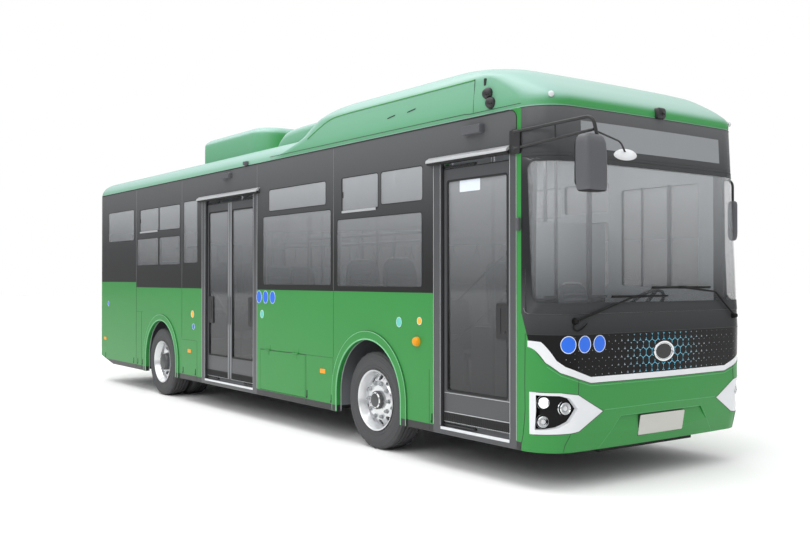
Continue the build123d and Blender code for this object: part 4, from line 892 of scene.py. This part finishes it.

# door surrounds: pale drip rails, painted shade under them as dark strips, bright sill edges, pale post edges
drips, headShades, sills = bmesh.new(), bmesh.new(), bmesh.new()
for x0, x1, r0, r1 in ((1019, 2101, 972, 2038), (-3936, -2367, -3996, -2296)):
    addLoft(drips, [[(x, -y, z) for y, z in ((1274, 2752), (1292, 2750), (1328, 2722), (1331, 2704), (1326, 2700),
                                             (1274, 2726))] for x in (r0 + 1, r1 - 1)])
    # dark boxes as painted shade: under the drip rail and inside the head gap
    addBox(headShades, r0 + 6, r1 - 6, -1320, -1275, 2686, 2703)
    addBox(headShades, x0 + 104, x1 - 82 if x1 > 0 else x1 - 104, -1275.6, -1250, 2686, 2696)
    for x in (x0 + 3, x0 + 100, x1 - (79 if x1 > 0 else 101), x1 - 3):
        addTube(drips, [(x, -1275, 380), (x, -1275, 2684)], 2.6, 6)
    addLoft(sills, [[(x, -y, z) for y, z in ((1262, 348), (1277, 348), (1279, 352), (1279, 368), (1277, 373),
                                             (1262, 373))]
                    for x in (x0 + 106, x1 - 84 if x1 > 0 else x1 - 106)])
newPiece("doorDripRails", drips, paleMetal, bevel=1)
newPiece("doorHeadShades", headShades, rubberSeal, bevel=1)
newPiece("doorSillEdges", sills, whiteTrim, bevel=1)
stickers = bmesh.new()
addPrism(stickers, roundedOutline(1340, 1610, 2425, 2526, 8), "y", -1233.3, -1234.2)
newPiece("doorSticker", stickers, decalWhite, "door_leaf_front")
print("doors dressed")

# front: screen frit, seams, lamps, ring and printed pattern
frit = bmesh.new()
viewEdge, glassEdge = 1384.0, 1440.0
addFrontFrame(frit, roundedOutline(-glassEdge, glassEdge, 1397, 2638, 24),
              roundedOutline(-viewEdge, viewEdge, 1481, 2600, 70), 2.6, 3.4)
newPiece("windscreenFrit", frit, maskMaterial, smooth=60)
panel = bmesh.new()
addFrontSheet(panel, [-899 + 58 * k for k in range(32)], [2719 + 36 * k for k in range(7)], 1.4)
newPiece("destinationGlass", panel, destinationGlass, smooth=60)

seams, shines, edges = bmesh.new(), bmesh.new(), bmesh.new()
for sign in (-1, 1):
    addFrontLine(seams, [(sign * spread(1007), 764), (sign * spread(1000), 886)], 2.2)
    addFrontLine(seams, [(sign * spread(1063), 464), (sign * spread(1095), 365), (sign * spread(1095), 312)], 2.2)
    addFrontLine(seams, [(sign * 1468, 320), (sign * 1468, 1235), (sign * 1440, 1235)], 2.4)
    # white trim's lower edge: a dark painted shadow line, and the painted highlight under it
    lower = [(0, 845), (870, 848), (1006, 887), (1150, 938), (1228, 1014), (1262, 1100)]
    addFrontLine(seams, [(sign * spread(y), z) for y, z in lower], 2.4)
    addFrontLine(shines, [(sign * spread(y), z) for y, z in ((0, 826), (866, 828), (1003, 866), (1146, 916),
                                                              (1222, 986))], 4.0, -1.5)
    frameLine = [(735, 618), (987, 474), (1063, 464), (1262, 450)]
    addFrontLine(seams, [(sign * spread(y), z) for y, z in frameLine], 2.2)
    frameLine = [(735, 618), (1007, 764), (1150, 785), (1262, 784)]
    addFrontLine(seams, [(sign * spread(y), z) for y, z in frameLine], 2.2)
    # painted highlights along the bumper's folds
    addFrontLine(shines, [(sign * 716, 628), (0, 634)], 5.0, -3.8)
    addFrontLine(shines, [(sign * 518, 566), (0, 566)], 4.0, -3.0)
    addFrontLine(shines, [(sign * 524, 566), (sign * 738, 312)], 4.0, -3.0)
addFrontLine(seams, [(-1440, 1235), (1440, 1235)], 2.0)
addFrontLine(seams, [(-1440, 1394), (1440, 1394)], 2.4)
addFrontLine(edges, [(-1478, 1440), (-1462, 1408), (-1430, 1397), (1430, 1397), (1462, 1408), (1478, 1440)], 2.0)
addFrontLine(seams, [(-1440, 2641), (1440, 2641)], 2.4)
addFrontLine(seams, [(-1420, 2668), (1420, 2668)], 1.8)
addFrontLine(seams, [(-1440, 3038), (1440, 3038)], 3.0)
newPiece("frontSeamsAndShadowLine", seams, seamSeal)
newPiece("screenEdge", edges, paleSeam)
newPiece("bumperHighlights", shines, foldHighlightPaint)

discValues = {"places": (-1094, -942, -778), "z": 1157, "wide": 64, "tall": 66}
discs, rings = bmesh.new(), bmesh.new()
for y in discValues["places"]:
    disc = (spread(y), discValues["z"], discValues["wide"], discValues["tall"])
    addFrontDisc(discs, *disc, 1.6)
    addFrontLine(rings, ovalOutline(*disc, 36), 2.8, 1.0, closed=True)
newPiece("frontBlueDiscs", discs, decalBlue)
newPiece("frontDiscRings", rings, decalWhite)
ringValues = {"z": 1065, "wide": 122, "tall": 78}
ringZ = ringValues["z"]
plainRing, ringBack = bmesh.new(), bmesh.new()
oval = ovalOutline(0, ringZ, ringValues["wide"], ringValues["tall"], 64)
addTube(plainRing, [frontAt(s, z, 4) for s, z in oval], 9, 10, closed=True)
addTube(plainRing, [frontAt(s * 0.86, ringZ + (z - ringZ) * 0.84, 3) for s, z in oval], 3, 8, closed=True)
addFrontPlate(ringBack, oval, -2, 3)
newPiece("plainRing", plainRing, chromePlate)
newPiece("plainRingBack", ringBack, blackGloss)

# printed cells: whole six-sided net beside the ring, three-armed stars further out, then dots
pattern = bmesh.new()
netValues = {"pitch": 43.0, "low": 912, "high": 1226, "half": 1130}    # pitch is the side of a cell
pitch = netValues["pitch"]
rise = pitch * 1.5
for row in range(-3, 5):
    for column in range(-17, 18):
        for kind in (0, 1):
            s = (column + (0.5 if row % 2 else 0.0)) * pitch * math.sqrt(3)
            z = ringZ + row * rise + (pitch / 2 if kind else -pitch / 2)
            away = math.hypot(s, (z - ringZ) * 2.3)
            lowEdge = netValues["low"] + max(0.0, abs(s) - 870) * 0.33
            if z < lowEdge or z > netValues["high"] or abs(s) > netValues["half"]:
                continue
            if math.hypot(s / 138, (z - ringZ) / 94) < 1.0:
                continue
            if any(math.hypot(s - spread(y), z - discValues["z"]) < 78 for y in discValues["places"]):
                continue
            reach = pitch * 0.53 if away < 270 else pitch * max(0.1, 0.44 - (away - 270) / 1300)
            if kind and away > 300:
                reach *= max(0.2, 0.8 - (away - 300) / 700)
            thick = 2.8 if away < 300 else 2.6
            for arm in range(3):
                a = math.radians(90 + 120 * arm + (180 if kind else 0))
                ends = ((-0.6, -thick), (reach, -thick * 0.7), (reach, thick * 0.7), (-0.6, thick))
                corners = [frontAt(s + u * math.cos(a) - v * math.sin(a), z + u * math.sin(a) + v * math.cos(a), 1.6)
                           for u, v in ends]
                pattern.faces.new([pattern.verts.new(c) for c in corners])
newPiece("printedNet", pattern, screenPrint)

# blank number plate on its holder
plateValues = {"half": 287, "low": 379, "high": 547, "holderRim": 5}
plate, holder = bmesh.new(), bmesh.new()
half, low, high, rim = plateValues.values()
addLoft(plate, [[frontAt(s, z, out) for s, z in roundedOutline(-half + g, half - g, low + g, high - g, 10)]
                for out, g in ((-14, 0), (4, 0), (6, 2), (6, 8), (4.6, 11))])
addLoft(holder, [[frontAt(s, z, out) for s, z in roundedOutline(-half - rim, half + rim, low - rim, high + rim, 12)]
                 for out in (-16, 1)])
newPiece("blankPlate", plate, plateMetal)
newPiece("plateHolder", holder, blackMetal)

# head lamps: black well, chrome bezels, clear domes; the outer upper lamp is lit
well, bezels, domes, lit, bowls = (bmesh.new() for _ in range(5))
lampTable = [(1240, 702, 40, True), (1240, 552, 40, False), (1112, 660, 42, False)]
for sign in (-1, 1):
    columns = [spread(985) + (cornerEnd - 12 - spread(985)) * k / 16 for k in range(17)]
    addFrontSheet(well, [sign * s for s in columns], range(468, 785, 26), -34)
    for y, z, radius, glowing in lampTable:
        s = sign * spread(y)
        normal = frontNormal(s, z)
        aim = (normal + Vector((1.0, 0, 0))).normalized()
        centre = frontAt(s, z, -26)
        addLathe(bezels, [(radius - 4, 4), (radius + 1, 12), (radius + 5, 10), (radius + 6, 0), (radius + 3, -12)],
                 centre, aim, 40)
        addLathe(bowls, [(0, -8), (16, -8), (22, -2), (26, -6), (radius - 8, 0), (radius - 3, 6)], centre, aim, 40)
        cover = lit if glowing else domes
        if glowing:
            addLathe(cover, [(0, 15), (radius * 0.5, 13), (radius * 0.85, 8), (radius - 3, 4), (radius - 3, 0)],
                     centre, aim, 40)
        else:
            addLathe(cover, [(0, 12), (14, 11), (20, 6), (22, 0)], centre, aim, 32)
            addLathe(cover, [(26, 2), (30, 6), (34, 2)], centre, aim, 32)
        # thin bright ring round the bezel
        addLathe(bezels, [(radius + 10, -14), (radius + 13, -8), (radius + 16, -14)], centre, aim, 40)
newPiece("headlampWells", well, panelMaterial, smooth=60)
newPiece("headlampBezels", bezels, chromePlate, smooth=60)
newPiece("headlampBowls", bowls, paleMetal, smooth=60)
newPiece("headlampLenses", domes, clearLens, smooth=60)
newPiece("headlampLit", lit, litLens, smooth=60)
print("front dressed")

# mirrors: moulded heads on bent arms, one small dished mirror
heads, arms, caps, glasses, dishes = (bmesh.new() for _ in range(5))
mirrorValues = {"upperBar": 13.5, "lowerBar": 11.5, "brace": 8, "dishBar": 7.5, "leftBar": 12,
                "dishCentre": (2822, -808, 2634), "dishAim": (0.45, -0.35, 0.82)}     # bars by their radius
addTube(arms, bend([(2086, -1292, 2850), (2862, -1216, 2884), (2880, -1188, 2730)], 70, 10),
        mirrorValues["upperBar"], 12)
addTube(arms, [(2086, -1292, 2715), (2862, -1204, 2782)], mirrorValues["lowerBar"], 12)
addTube(arms, [(2510, -1250, 2750), (2510, -1251, 2868)], mirrorValues["brace"], 8)
addTube(arms, bend([(2880, -1188, 2764), (2838, -880, 2718), (2822, -812, 2646)], 50),
        mirrorValues["dishBar"], 10)
for z in (2715, 2850):
    addLathe(arms, [(0, -22), (24, -20), (26, 0), (22, 16), (0, 18)], (2086, -1283, z), (0, -1, 0), 20)
# each level of the head is its height, how far it is drawn in and its shift across
headRows = [(2308, 20, 8), (2312, 6, 6), (2340, 2, 4), (2400, 0, 2), (2560, 0, 0), (2660, 3, -4), (2700, 12, -8),
            (2722, 28, -10), (2729, 50, -12)]
addLoft(heads, [[(x, y + shift, z + 16)
                 for x, y in roundedOutline(2775 + inset, 2927 - inset, -1338 + inset, -1106 - inset,
                                            max(46 - inset / 2, 20), 7)]
                for z, inset, shift in headRows])
addLoft(caps, [[(x, y, z) for x, y in roundedOutline(2787 + g, 2915 - g, -1318 + g, -1112 - g, 38, 6)]
               for z, g in ((2346, 4), (2322, 0), (2320.5, 4))])
addLoft(glasses, [[(x, y, z) for y, z in roundedOutline(-1322 + g, -1126 - g, 2356 + g, 2706 - g, 40, 6)]
                  for x, g in ((2777, 0), (2774, 2), (2773.5, 8))])
addLathe(dishes, [(0, 17), (26, 16), (52, 12), (74, 4), (84, -6), (87, -12), (85, -15)],
         mirrorValues["dishCentre"], mirrorValues["dishAim"], 48)
addLathe(caps, [(86, -11), (87, -17), (50, -18), (0, -18)], mirrorValues["dishCentre"], mirrorValues["dishAim"], 48)
addPrism(arms, roundedOutline(2040, 2160, 2674, 2866, 12), "y", -1296, -1272)
# left mirror: one bar and a slim head
addTube(arms, bend([(2086, 1293, 2660), (2302, 1322, 2600), (2302, 1322, 2380)], 60), mirrorValues["leftBar"], 12)
addBox(arms, 2056, 2116, 1276, 1296, 2602, 2718)
addLoft(heads, [[(x, y, z) for x, y in roundedOutline(2263 + g, 2341 - g, 1285 + g, 1359 - g, max(29 - g / 2, 12), 6)]
                for z, g in ((2034, 22), (2044, 9), (2070, 2), (2110, 0), (2370, 0), (2398, 4), (2408, 18))])
addLoft(glasses, [[(x, y, z) for y, z in roundedOutline(1296 + g, 1350 - g, 2060 + g, 2385 - g, 16, 5)]
                  for x, g in ((2265, 0), (2262.6, 2))])
newPiece("mirrorArms", arms, blackMetal, bevel=1.5, replaced=("mirrors",))
newPiece("mirrorHeads", heads, mirrorShell, smooth=50)
newPiece("mirrorUndersides", caps, rubberSeal)
# the dished mirror's face is matt off-white: painted reflection of the pale sky
newPiece("dishedMirror", dishes, liningAndReflectionWhite, smooth=60)
newPiece("mirrorGlasses", glasses, chromePlate)

# wiper ends: pivot caps, blade rubbers and their clips
# pivots: off the middle, height; blades: from, to, height
wiperValues = {"pivots": ((-1040, 1340), (1000, 1340)), "blades": ((-640, 40, 1530), (-150, 640, 1600))}
clips = bmesh.new()
for y, z in wiperValues["pivots"]:
    addLathe(clips, [(0, 47), (13, 46), (19, 40), (22, 26), (26, 10), (28, 0)], frontAt(spread(y), z, 0),
             frontNormal(spread(y), z), 24)
for y0, y1, z in wiperValues["blades"]:
    middle = (y0 + y1) / 2
    addFrontLine(clips, [(y0, z - 7), (y1, z - 7)], 4.5, 10)
    addBox(clips, *[v for pair in zip(frontAt(middle, z, 20) - Vector((12, 45, 12)),
                                      frontAt(middle, z, 20) + Vector((16, 45, 12))) for v in pair])
addTube(clips, bend([frontAt(spread(-1052), 1322, 6), frontAt(spread(-1060), 1276, 8), frontAt(spread(-1010), 1262, 10),
                     frontAt(spread(-960), 1290, 10), frontAt(spread(-930), 1322, 20)], 40), 5, 8)
newPiece("wiperFittings", clips, wiperMetal, bevel=1)
print("mirrors and wipers dressed")


# roof: the shell's skin, the cylinder cowl and the air-conditioner pod, all drawn smooth
def planLine(x0, x1, half, frontR, rearR, sag=30.0, counts=(14, 14, 22, 8, 10)):
    # a housing seen from above, from the nose's middle round by the left, tail and right
    nose, corner, flank, rear, tail = counts
    crown = (half * half + sag * sag) / (2 * sag)
    start = math.asin((half - frontR) / (crown - frontR))
    centreX = x1 - crown + (crown - frontR) * math.cos(start)
    line = [(x1 - crown * (1 - math.cos(start * k / nose)), crown * math.sin(start * k / nose)) for k in range(nose)]
    line += [(centreX + frontR * math.cos(a), half - frontR + frontR * math.sin(a))
             for a in (start + (math.pi / 2 - start) * k / corner for k in range(corner))]
    line += [(centreX + (x0 + rearR - centreX) * k / flank, half) for k in range(flank)]
    line += [(x0 + rearR - rearR * math.sin(a), half - rearR + rearR * math.cos(a))
             for a in (math.pi / 2 * k / rear for k in range(rear))]
    line += [(x0, (half - rearR) * (1 - k / tail)) for k in range(tail)]
    mirrored = [(x, -y) for x, y in reversed(line[1:])]
    return line + [(x0, 0.0)] + mirrored


def easedRows(table, steps):
    # passes a smooth curve through the rows of a table, column by column
    rows = []
    for i in range(len(table) - 1):
        p0, p1, p2, p3 = table[max(i - 1, 0)], table[i], table[i + 1], table[min(i + 2, len(table) - 1)]
        for k in range(steps):
            t = k / steps
            rows.append([0.5 * (2 * b + (c - a) * t + (2 * a - 5 * b + 4 * c - d) * t * t
                                + (3 * b - a - 3 * c + d) * t ** 3)
                         for a, b, c, d in zip(p0, p1, p2, p3)])
    return rows + [list(table[-1])]


# each row of a housing: height, tail, nose, half the width, front and rear corner radius
roofNose, roofTail = 2452.0, -7960.0
shellTable = [(z, roofTail + i, roofNose - i, 1275 - i, max(300 - i, 80), max(70 - i, 15))
              for z, i in ((3040, 0), (3110, 22), (3185, 85), (3240, 210), (3270, 480))]
roofSkin = bmesh.new()
skinRows = [[(x, y, row[0]) for x, y in planLine(*row[1:])] for row in easedRows(shellTable, 5)]
skinRows.append([(x * 0.985 - 40, y * 0.4, 3270) for x, y, z in skinRows[-1]])
liningRows = [[(x, y, z) for x, y in planLine(roofTail + i, roofNose - i, 1275 - i, 200, 15)]
              for z, i in ((3040, 50), (3110, 80), (3190, 160))]
liningRows.append([(x * 0.985 - 40, y * 0.4, 3190) for x, y, z in liningRows[-1]])
skinLoops = addLoft(roofSkin, skinRows, capped=False)
roofSkin.faces.new(skinLoops[-1])
newPiece("roofSkin", roofSkin, roofMaterial, smooth=60, replaced=("roof_shell",))
ceiling = bmesh.new()
ceilingEdge = [(x * 0.9995, y * 0.999, 3042) for x, y, z in skinRows[0]]
ceilingLoops = addLoft(ceiling, [ceilingEdge] + liningRows, capped=False)
ceiling.faces.new(ceilingLoops[-1])
newPiece("ceilingLining", ceiling, liningAndReflectionWhite, smooth=60)

cowlTable = [(3054, -2080, 2451, 1274, 301, 60), (3128, -1800, 2440, 1274, 300, 200),
             (3214, -1620, 2340, 1268, 310, 400), (3300, -1475, 2200, 1258, 322, 430),
             (3362, -1370, 2085, 1248, 332, 450), (3400, -1290, 1985, 1230, 345, 450),
             (3450, -1110, 1835, 1185, 360, 420), (3490, -900, 1640, 1115, 380, 400),
             (3515, -700, 1400, 1010, 400, 380), (3530, -500, 1100, 850, 360, 340)]
cowl = bmesh.new()
cowlRows = [[(x, y, row[0]) for x, y in planLine(*row[1:])] for row in easedRows(cowlTable, 5)]
middleX, topRow = 300.0, cowlRows[-1]
for shrink, z in ((0.8, 3535), (0.55, 3538.5), (0.25, 3540)):
    cowlRows.append([(middleX + (x - middleX) * shrink, y * shrink, z) for x, y, _ in topRow])
cowlLoops = addLoft(cowl, cowlRows, capped=False)
cowl.faces.new(cowlLoops[-1])
# lower hump behind it, its top falling to the tail: each row is its station, height and half the width
humpTable = [(-2449, 3215, 960), (-2430, 3262, 978), (-2380, 3332, 990), (-2280, 3395, 998), (-2150, 3436, 1000),
             (-1900, 3453, 1000), (-1500, 3462, 1000), (-1000, 3464, 990), (-700, 3465, 960)]
humpRows = []
for x, z, half in easedRows(humpTable, 3):
    cut = min(70.0, (z - 3100) * 0.5)
    section = [(half, 3200), (half, z - cut * 1.3), (half - cut * 0.12, z - cut * 0.75),
               (half - cut * 0.45, z - cut * 0.3), (half - cut * 1.3, z - cut * 0.06), (half * 0.6, z), (0, z + 1)]
    humpRows.append([(x, y, h) for y, h in section] + [(x, -y, h) for y, h in reversed(section[:-1])])
addLoft(cowl, humpRows)
newPiece("cylinderCowl", cowl, roofMaterial, smooth=50, replaced=("roof_fairing",))

podTable = [(3200, -4610, -2840, 960, 300, 90), (3480, -4610, -2850, 959, 300, 90), (3540, -4602, -2864, 949, 290, 86),
            (3576, -4570, -2900, 912, 268, 72), (3597, -4530, -2940, 872, 245, 60), (3605, -4440, -3030, 760, 200, 60)]
fanValues = {"z": 3608, "stations": (-4180, -3730, -3280), "sides": (-360, 360), "rings": (60, 110, 160, 200)}
pod = bmesh.new()
podRows = [[(x, y, row[0]) for x, y in planLine(*row[1:])] for row in easedRows(podTable, 4)]
addLoft(pod, podRows + [[(-3735 + (x + 3735) * 0.6, y * 0.6, 3606.5) for x, y, _ in podRows[-1]]])
newPiece("climatePod", pod, roofMaterial, smooth=50, replaced=("roof_pod",))
grilles = bmesh.new()
for x in fanValues["stations"]:
    for y in fanValues["sides"]:
        for radius in fanValues["rings"]:
            addTube(grilles, [(u, v, fanValues["z"]) for u, v in ovalOutline(x, y, radius, radius, 40)], 5, 6,
                    closed=True)
        for k in range(8):
            a = math.pi * k / 4
            addTube(grilles, [(x, y, fanValues["z"]), (x + 200 * math.cos(a), y + 200 * math.sin(a), fanValues["z"])],
                    4, 6)
newPiece("podGrilles", grilles, blackMetal, bevel=1)

roofLines, roofShine, clearance, slots = (bmesh.new() for _ in range(4))
for side in (-1, 1):
    addTube(roofLines, [(-2050, side * 1276, 3083), (1461, side * 1276, 3081), (1520, side * 1276, 3074),
                        (2150, side * 1274.5, 3074)], 2.5, 6)
    # a joint down the side of the cowl, and its crease
    addTube(roofLines, [(1570, side * (1274.5 if z < 3140 else 1274 - (z - 3128) * 0.08), z)
                        for z in (3080, 3128, 3214, 3300, 3365)], 2.2, 6)
    addTube(roofShine, bend([(-1200, side * 1272, 3190), (-800, side * 1252, 3346), (-500, side * 1250, 3362),
                             (1560, side * 1250, 3362)], 200, 8), 6, 6)
    addPrism(slots, [(300, 3200), (420, 3215), (424, 3224), (304, 3209)], "y", side * 1262, side * 1272)
    addPrism(slots, [(620, 3215), (740, 3230), (744, 3239), (624, 3224)], "y", side * 1262, side * 1271)
    addLathe(clearance, [(24, -6), (24, 4), (19, 11), (10, 14), (0, 15)], (2378, side * 1160, 3120 - side * 8),
             (0.77, side * 0.63, 0.2), 24)
newPiece("cowlSeams", roofLines, seamSeal)
newPiece("cowlCrease", roofShine, greenPaint)
newPiece("cowlSlots", slots, rubberSeal)
newPiece("clearanceLamps", clearance, clearLens, smooth=60)
cameras, eyes = bmesh.new(), bmesh.new()
for x, z in ((1757, 3213), (1795, 3130)):
    addLathe(cameras, [(50, -30), (50, 16), (46, 30), (34, 42), (16, 48), (0, 49)], (x, -1268, z),
             (0.3, -0.93, -0.15), 28)
    addLathe(eyes, [(17, 40), (17, 50), (12, 54), (0, 55)], (x + 6, -1266, z - 6), (0.45, -0.85, -0.3), 20)
addPrism(cameras, roundedOutline(1690, 1716, 3290, 3352, 8), "y", -1244, -1262)
addLoft(cameras, [[(2446 + w, u, v) for u, v in roundedOutline(2 + g, 104 - g, 3036 + g, 3132 - g, 22)]
                  for w, g in ((-60, 0), (34, 0), (48, 8), (54, 22))])
addLathe(eyes, [(20, -4), (20, 5), (14, 8), (0, 9)], (2498, 53, 3078), (1, 0, 0), 20)
newPiece("cameraEyes", eyes, blackGloss)
newPiece("roofCameras", cameras, blackMetal, bevel=1)
print("roof dressed")

# rear: lamp lenses with rings, lid louvres, rear window seal
lenses = {"red": bmesh.new(), "amber": bmesh.new(), "clear": bmesh.new()}
lampRings = bmesh.new()
for side in (-1, 1):
    for z, kind, radius in ((1400, "red", 62), (1240, "amber", 62), (1080, "clear", 62), (2920, "red", 40)):
        centre = (-7966, side * 1085, z)
        addLathe(lenses[kind], [(0, 10), (radius * 0.3, 9.5), (radius * 0.34, 7), (radius * 0.6, 8),
                                (radius * 0.64, 5.5), (radius * 0.9, 4), (radius - 2, 0), (radius - 2, -8)],
                 centre, (-1, 0, 0), 40)
        addLathe(lampRings, [(radius - 2, 2), (radius + 3, 3), (radius + 6, -1), (radius + 6, -14)],
                 centre, (-1, 0, 0), 40)
tailRed = newPiece("tailLensesRed", lenses["red"], redLens)
newPiece("tailLensesAmber", lenses["amber"], amberLens)
newPiece("tailLensesClear", lenses["clear"], clearLens)
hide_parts("lamps")
newPiece("tailLampRings", lampRings, blackMetal)
louvreValues = {"count": 9, "low": 620, "pitch": 48, "half": 640}
louvres, lidSeams = bmesh.new(), bmesh.new()
for k in range(louvreValues["count"]):
    z = louvreValues["low"] + k * louvreValues["pitch"]
    addLoft(louvres, [[(x, y, h) for x, h in ((-7957, z), (-7966, z + 4), (-7968, z + 10), (-7957, z + 34))]
                      for y in (-louvreValues["half"], louvreValues["half"])])
newPiece("lidLouvres", louvres, blackMetal, "engine_lid", bevel=1)
addFrame(lidSeams, roundedOutline(-826, 826, 1944, 2646, 66), roundedOutline(-812, 812, 1958, 2632, 52), "x",
         -7956, -7962)
newPiece("rearWindowSeal", lidSeams, rubberSeal)
print("rear dressed")

# cabin: moulded seats with padded covers, grab handles, driver's place
seatSpots = [(x, y, 1125.0) for x in (-4980.0, -5700.0) for y in (-1000.0, -560.0, 560.0, 1000.0)]
seatSpots += [(x, y, 1125.0) for x in (-330.0, 330.0) for y in (-960.0, 960.0)]
seatSpots += [(x, y, 371.0) for x in (-1150.0, -1850.0) for y in (-990.0, 550.0, 990.0)]
seatSpots += [(-6800.0, y, 1210.0) for y in (-980.0, -500.0, 0.0, 500.0, 980.0)]
shells, pads, legs, loops = (bmesh.new() for _ in range(4))


def backAt(x, lift):
    # the seat's back leans 70 mm over 720 mm
    return x - 219 - 70 * (lift + 80) / 720


def addSeat(x, y, z, low=430.0):
    stand = 40.0 if z > 1000 else low - 80
    top = z + stand + 80
    addLoft(shells, [[(u, v, top + dz)
                      for u, v in roundedOutline(x - 214 + g, x + 214 - g, y - 219 + g, y + 219 - g, 60, 4)]
                     for dz, g in ((-80, 40), (-72, 14), (-45, 3), (-34, 1))])
    addLoft(pads, [[(u, v, top + dz)
                    for u, v in roundedOutline(x - 205 + g, x + 210 - g, y - 208 + g, y + 208 - g, 62 - g / 3, 4)]
                   for dz, g in ((-38, 10), (-24, 0), (-10, 6), (-3, 28), (0, 70), (1, 120))])
    # levels of the back and its cover: lift over the seat, half the width, thickness
    rows, cover = [], []
    for lift, half, thick in ((-78, 190, 20), (-60, 212, 40), (60, 219, 40), (300, 217, 38), (480, 205, 36),
                              (575, 180, 32), (612, 140, 26), (622, 100, 14)):
        back = backAt(x, lift)
        rows.append([(u, v, top + lift) for u, v in roundedOutline(back, back + thick, y - half, y + half,
                                                                  min(thick / 2 - 0.5, 14), 4)])
    for lift, half, thick in ((10, 170, 8), (24, 184, 20), (120, 188, 27), (380, 184, 27), (520, 172, 22),
                              (556, 140, 10)):
        back = backAt(x, lift) + 34
        cover.append([(u, v, top + lift) for u, v in roundedOutline(back, back + thick, y - half, y + half,
                                                                   min(thick / 2 - 0.5, 13), 4)])
    addLoft(shells, rows)
    addLoft(pads, cover)
    back = x - 219 - 68
    addTube(loops, bend([(back + 20, y - 130, top + 560), (back + 16, y - 130, top + 628),
                         (back + 16, y + 130, top + 628), (back + 20, y + 130, top + 560)], 46), 11, 8)
    for dx in (-100, 100):
        addTube(legs, bend([(x + dx, y - 40, z + 1), (x + dx, y - 40, top - 78)], 5), 18, 8)
        addTube(legs, [(x + dx, y + 40, z + 1), (x + dx, y + 40, top - 78)], 18, 8)


for x, y, z in seatSpots:
    addSeat(x, y, z)
addSeat(1150.0, 640.0, 620.0, 380.0)
newPiece("seatShells", shells, seatPlastic, smooth=50, replaced=("seats",))
seatPads = newPiece("seatPads", pads, moquette, smooth=60)
posts = bmesh.new()
for y, wide in ((62, 16), (476, 14), (967, 34)):
    addPrism(posts, roundedOutline(802, 826, y - wide, y + wide, 6), "z", 1480, 3030)
addPrism(posts, roundedOutline(802, 830, 150, 1225, 6), "z", 1470, 1500)
for x, wide in ((1300, 14), (1640, 24)):
    addPrism(posts, roundedOutline(x - wide, x + wide, 1222, 1232, 4), "z", 1590, 2608)
newPiece("cabPosts", posts, mirrorShell)
newPiece("seatLegs", legs, poleSteel)
newPiece("seatHandles", loops, partitionPanel)

strapValues = {"pitch": 420, "railZ": 2150, "railR": 20}
straps = bmesh.new()
for y, x0, x1 in ((640, -6200, 500), (-640, -6200, -4100), (-640, -2100, 500)):
    for k in range(int((x1 - x0) / strapValues["pitch"])):
        x = x0 + 120 + k * strapValues["pitch"]
        addBox(straps, x - 11, x + 11, y - 2, y + 2, 2010, strapValues["railZ"])
        addTube(straps, [(x - 8, y, 2012), (x - 52, y, 1925), (x + 52, y, 1925), (x + 8, y, 2012)], 7, 6, closed=True)
        addTube(straps, [(x, u, v) for u, v in ovalOutline(y, strapValues["railZ"], strapValues["railR"],
                                                          strapValues["railR"], 12)], 3, 6, closed=True)
newPiece("grabHandles", straps, seatPlastic, bevel=0.8)
print("cabin dressed")
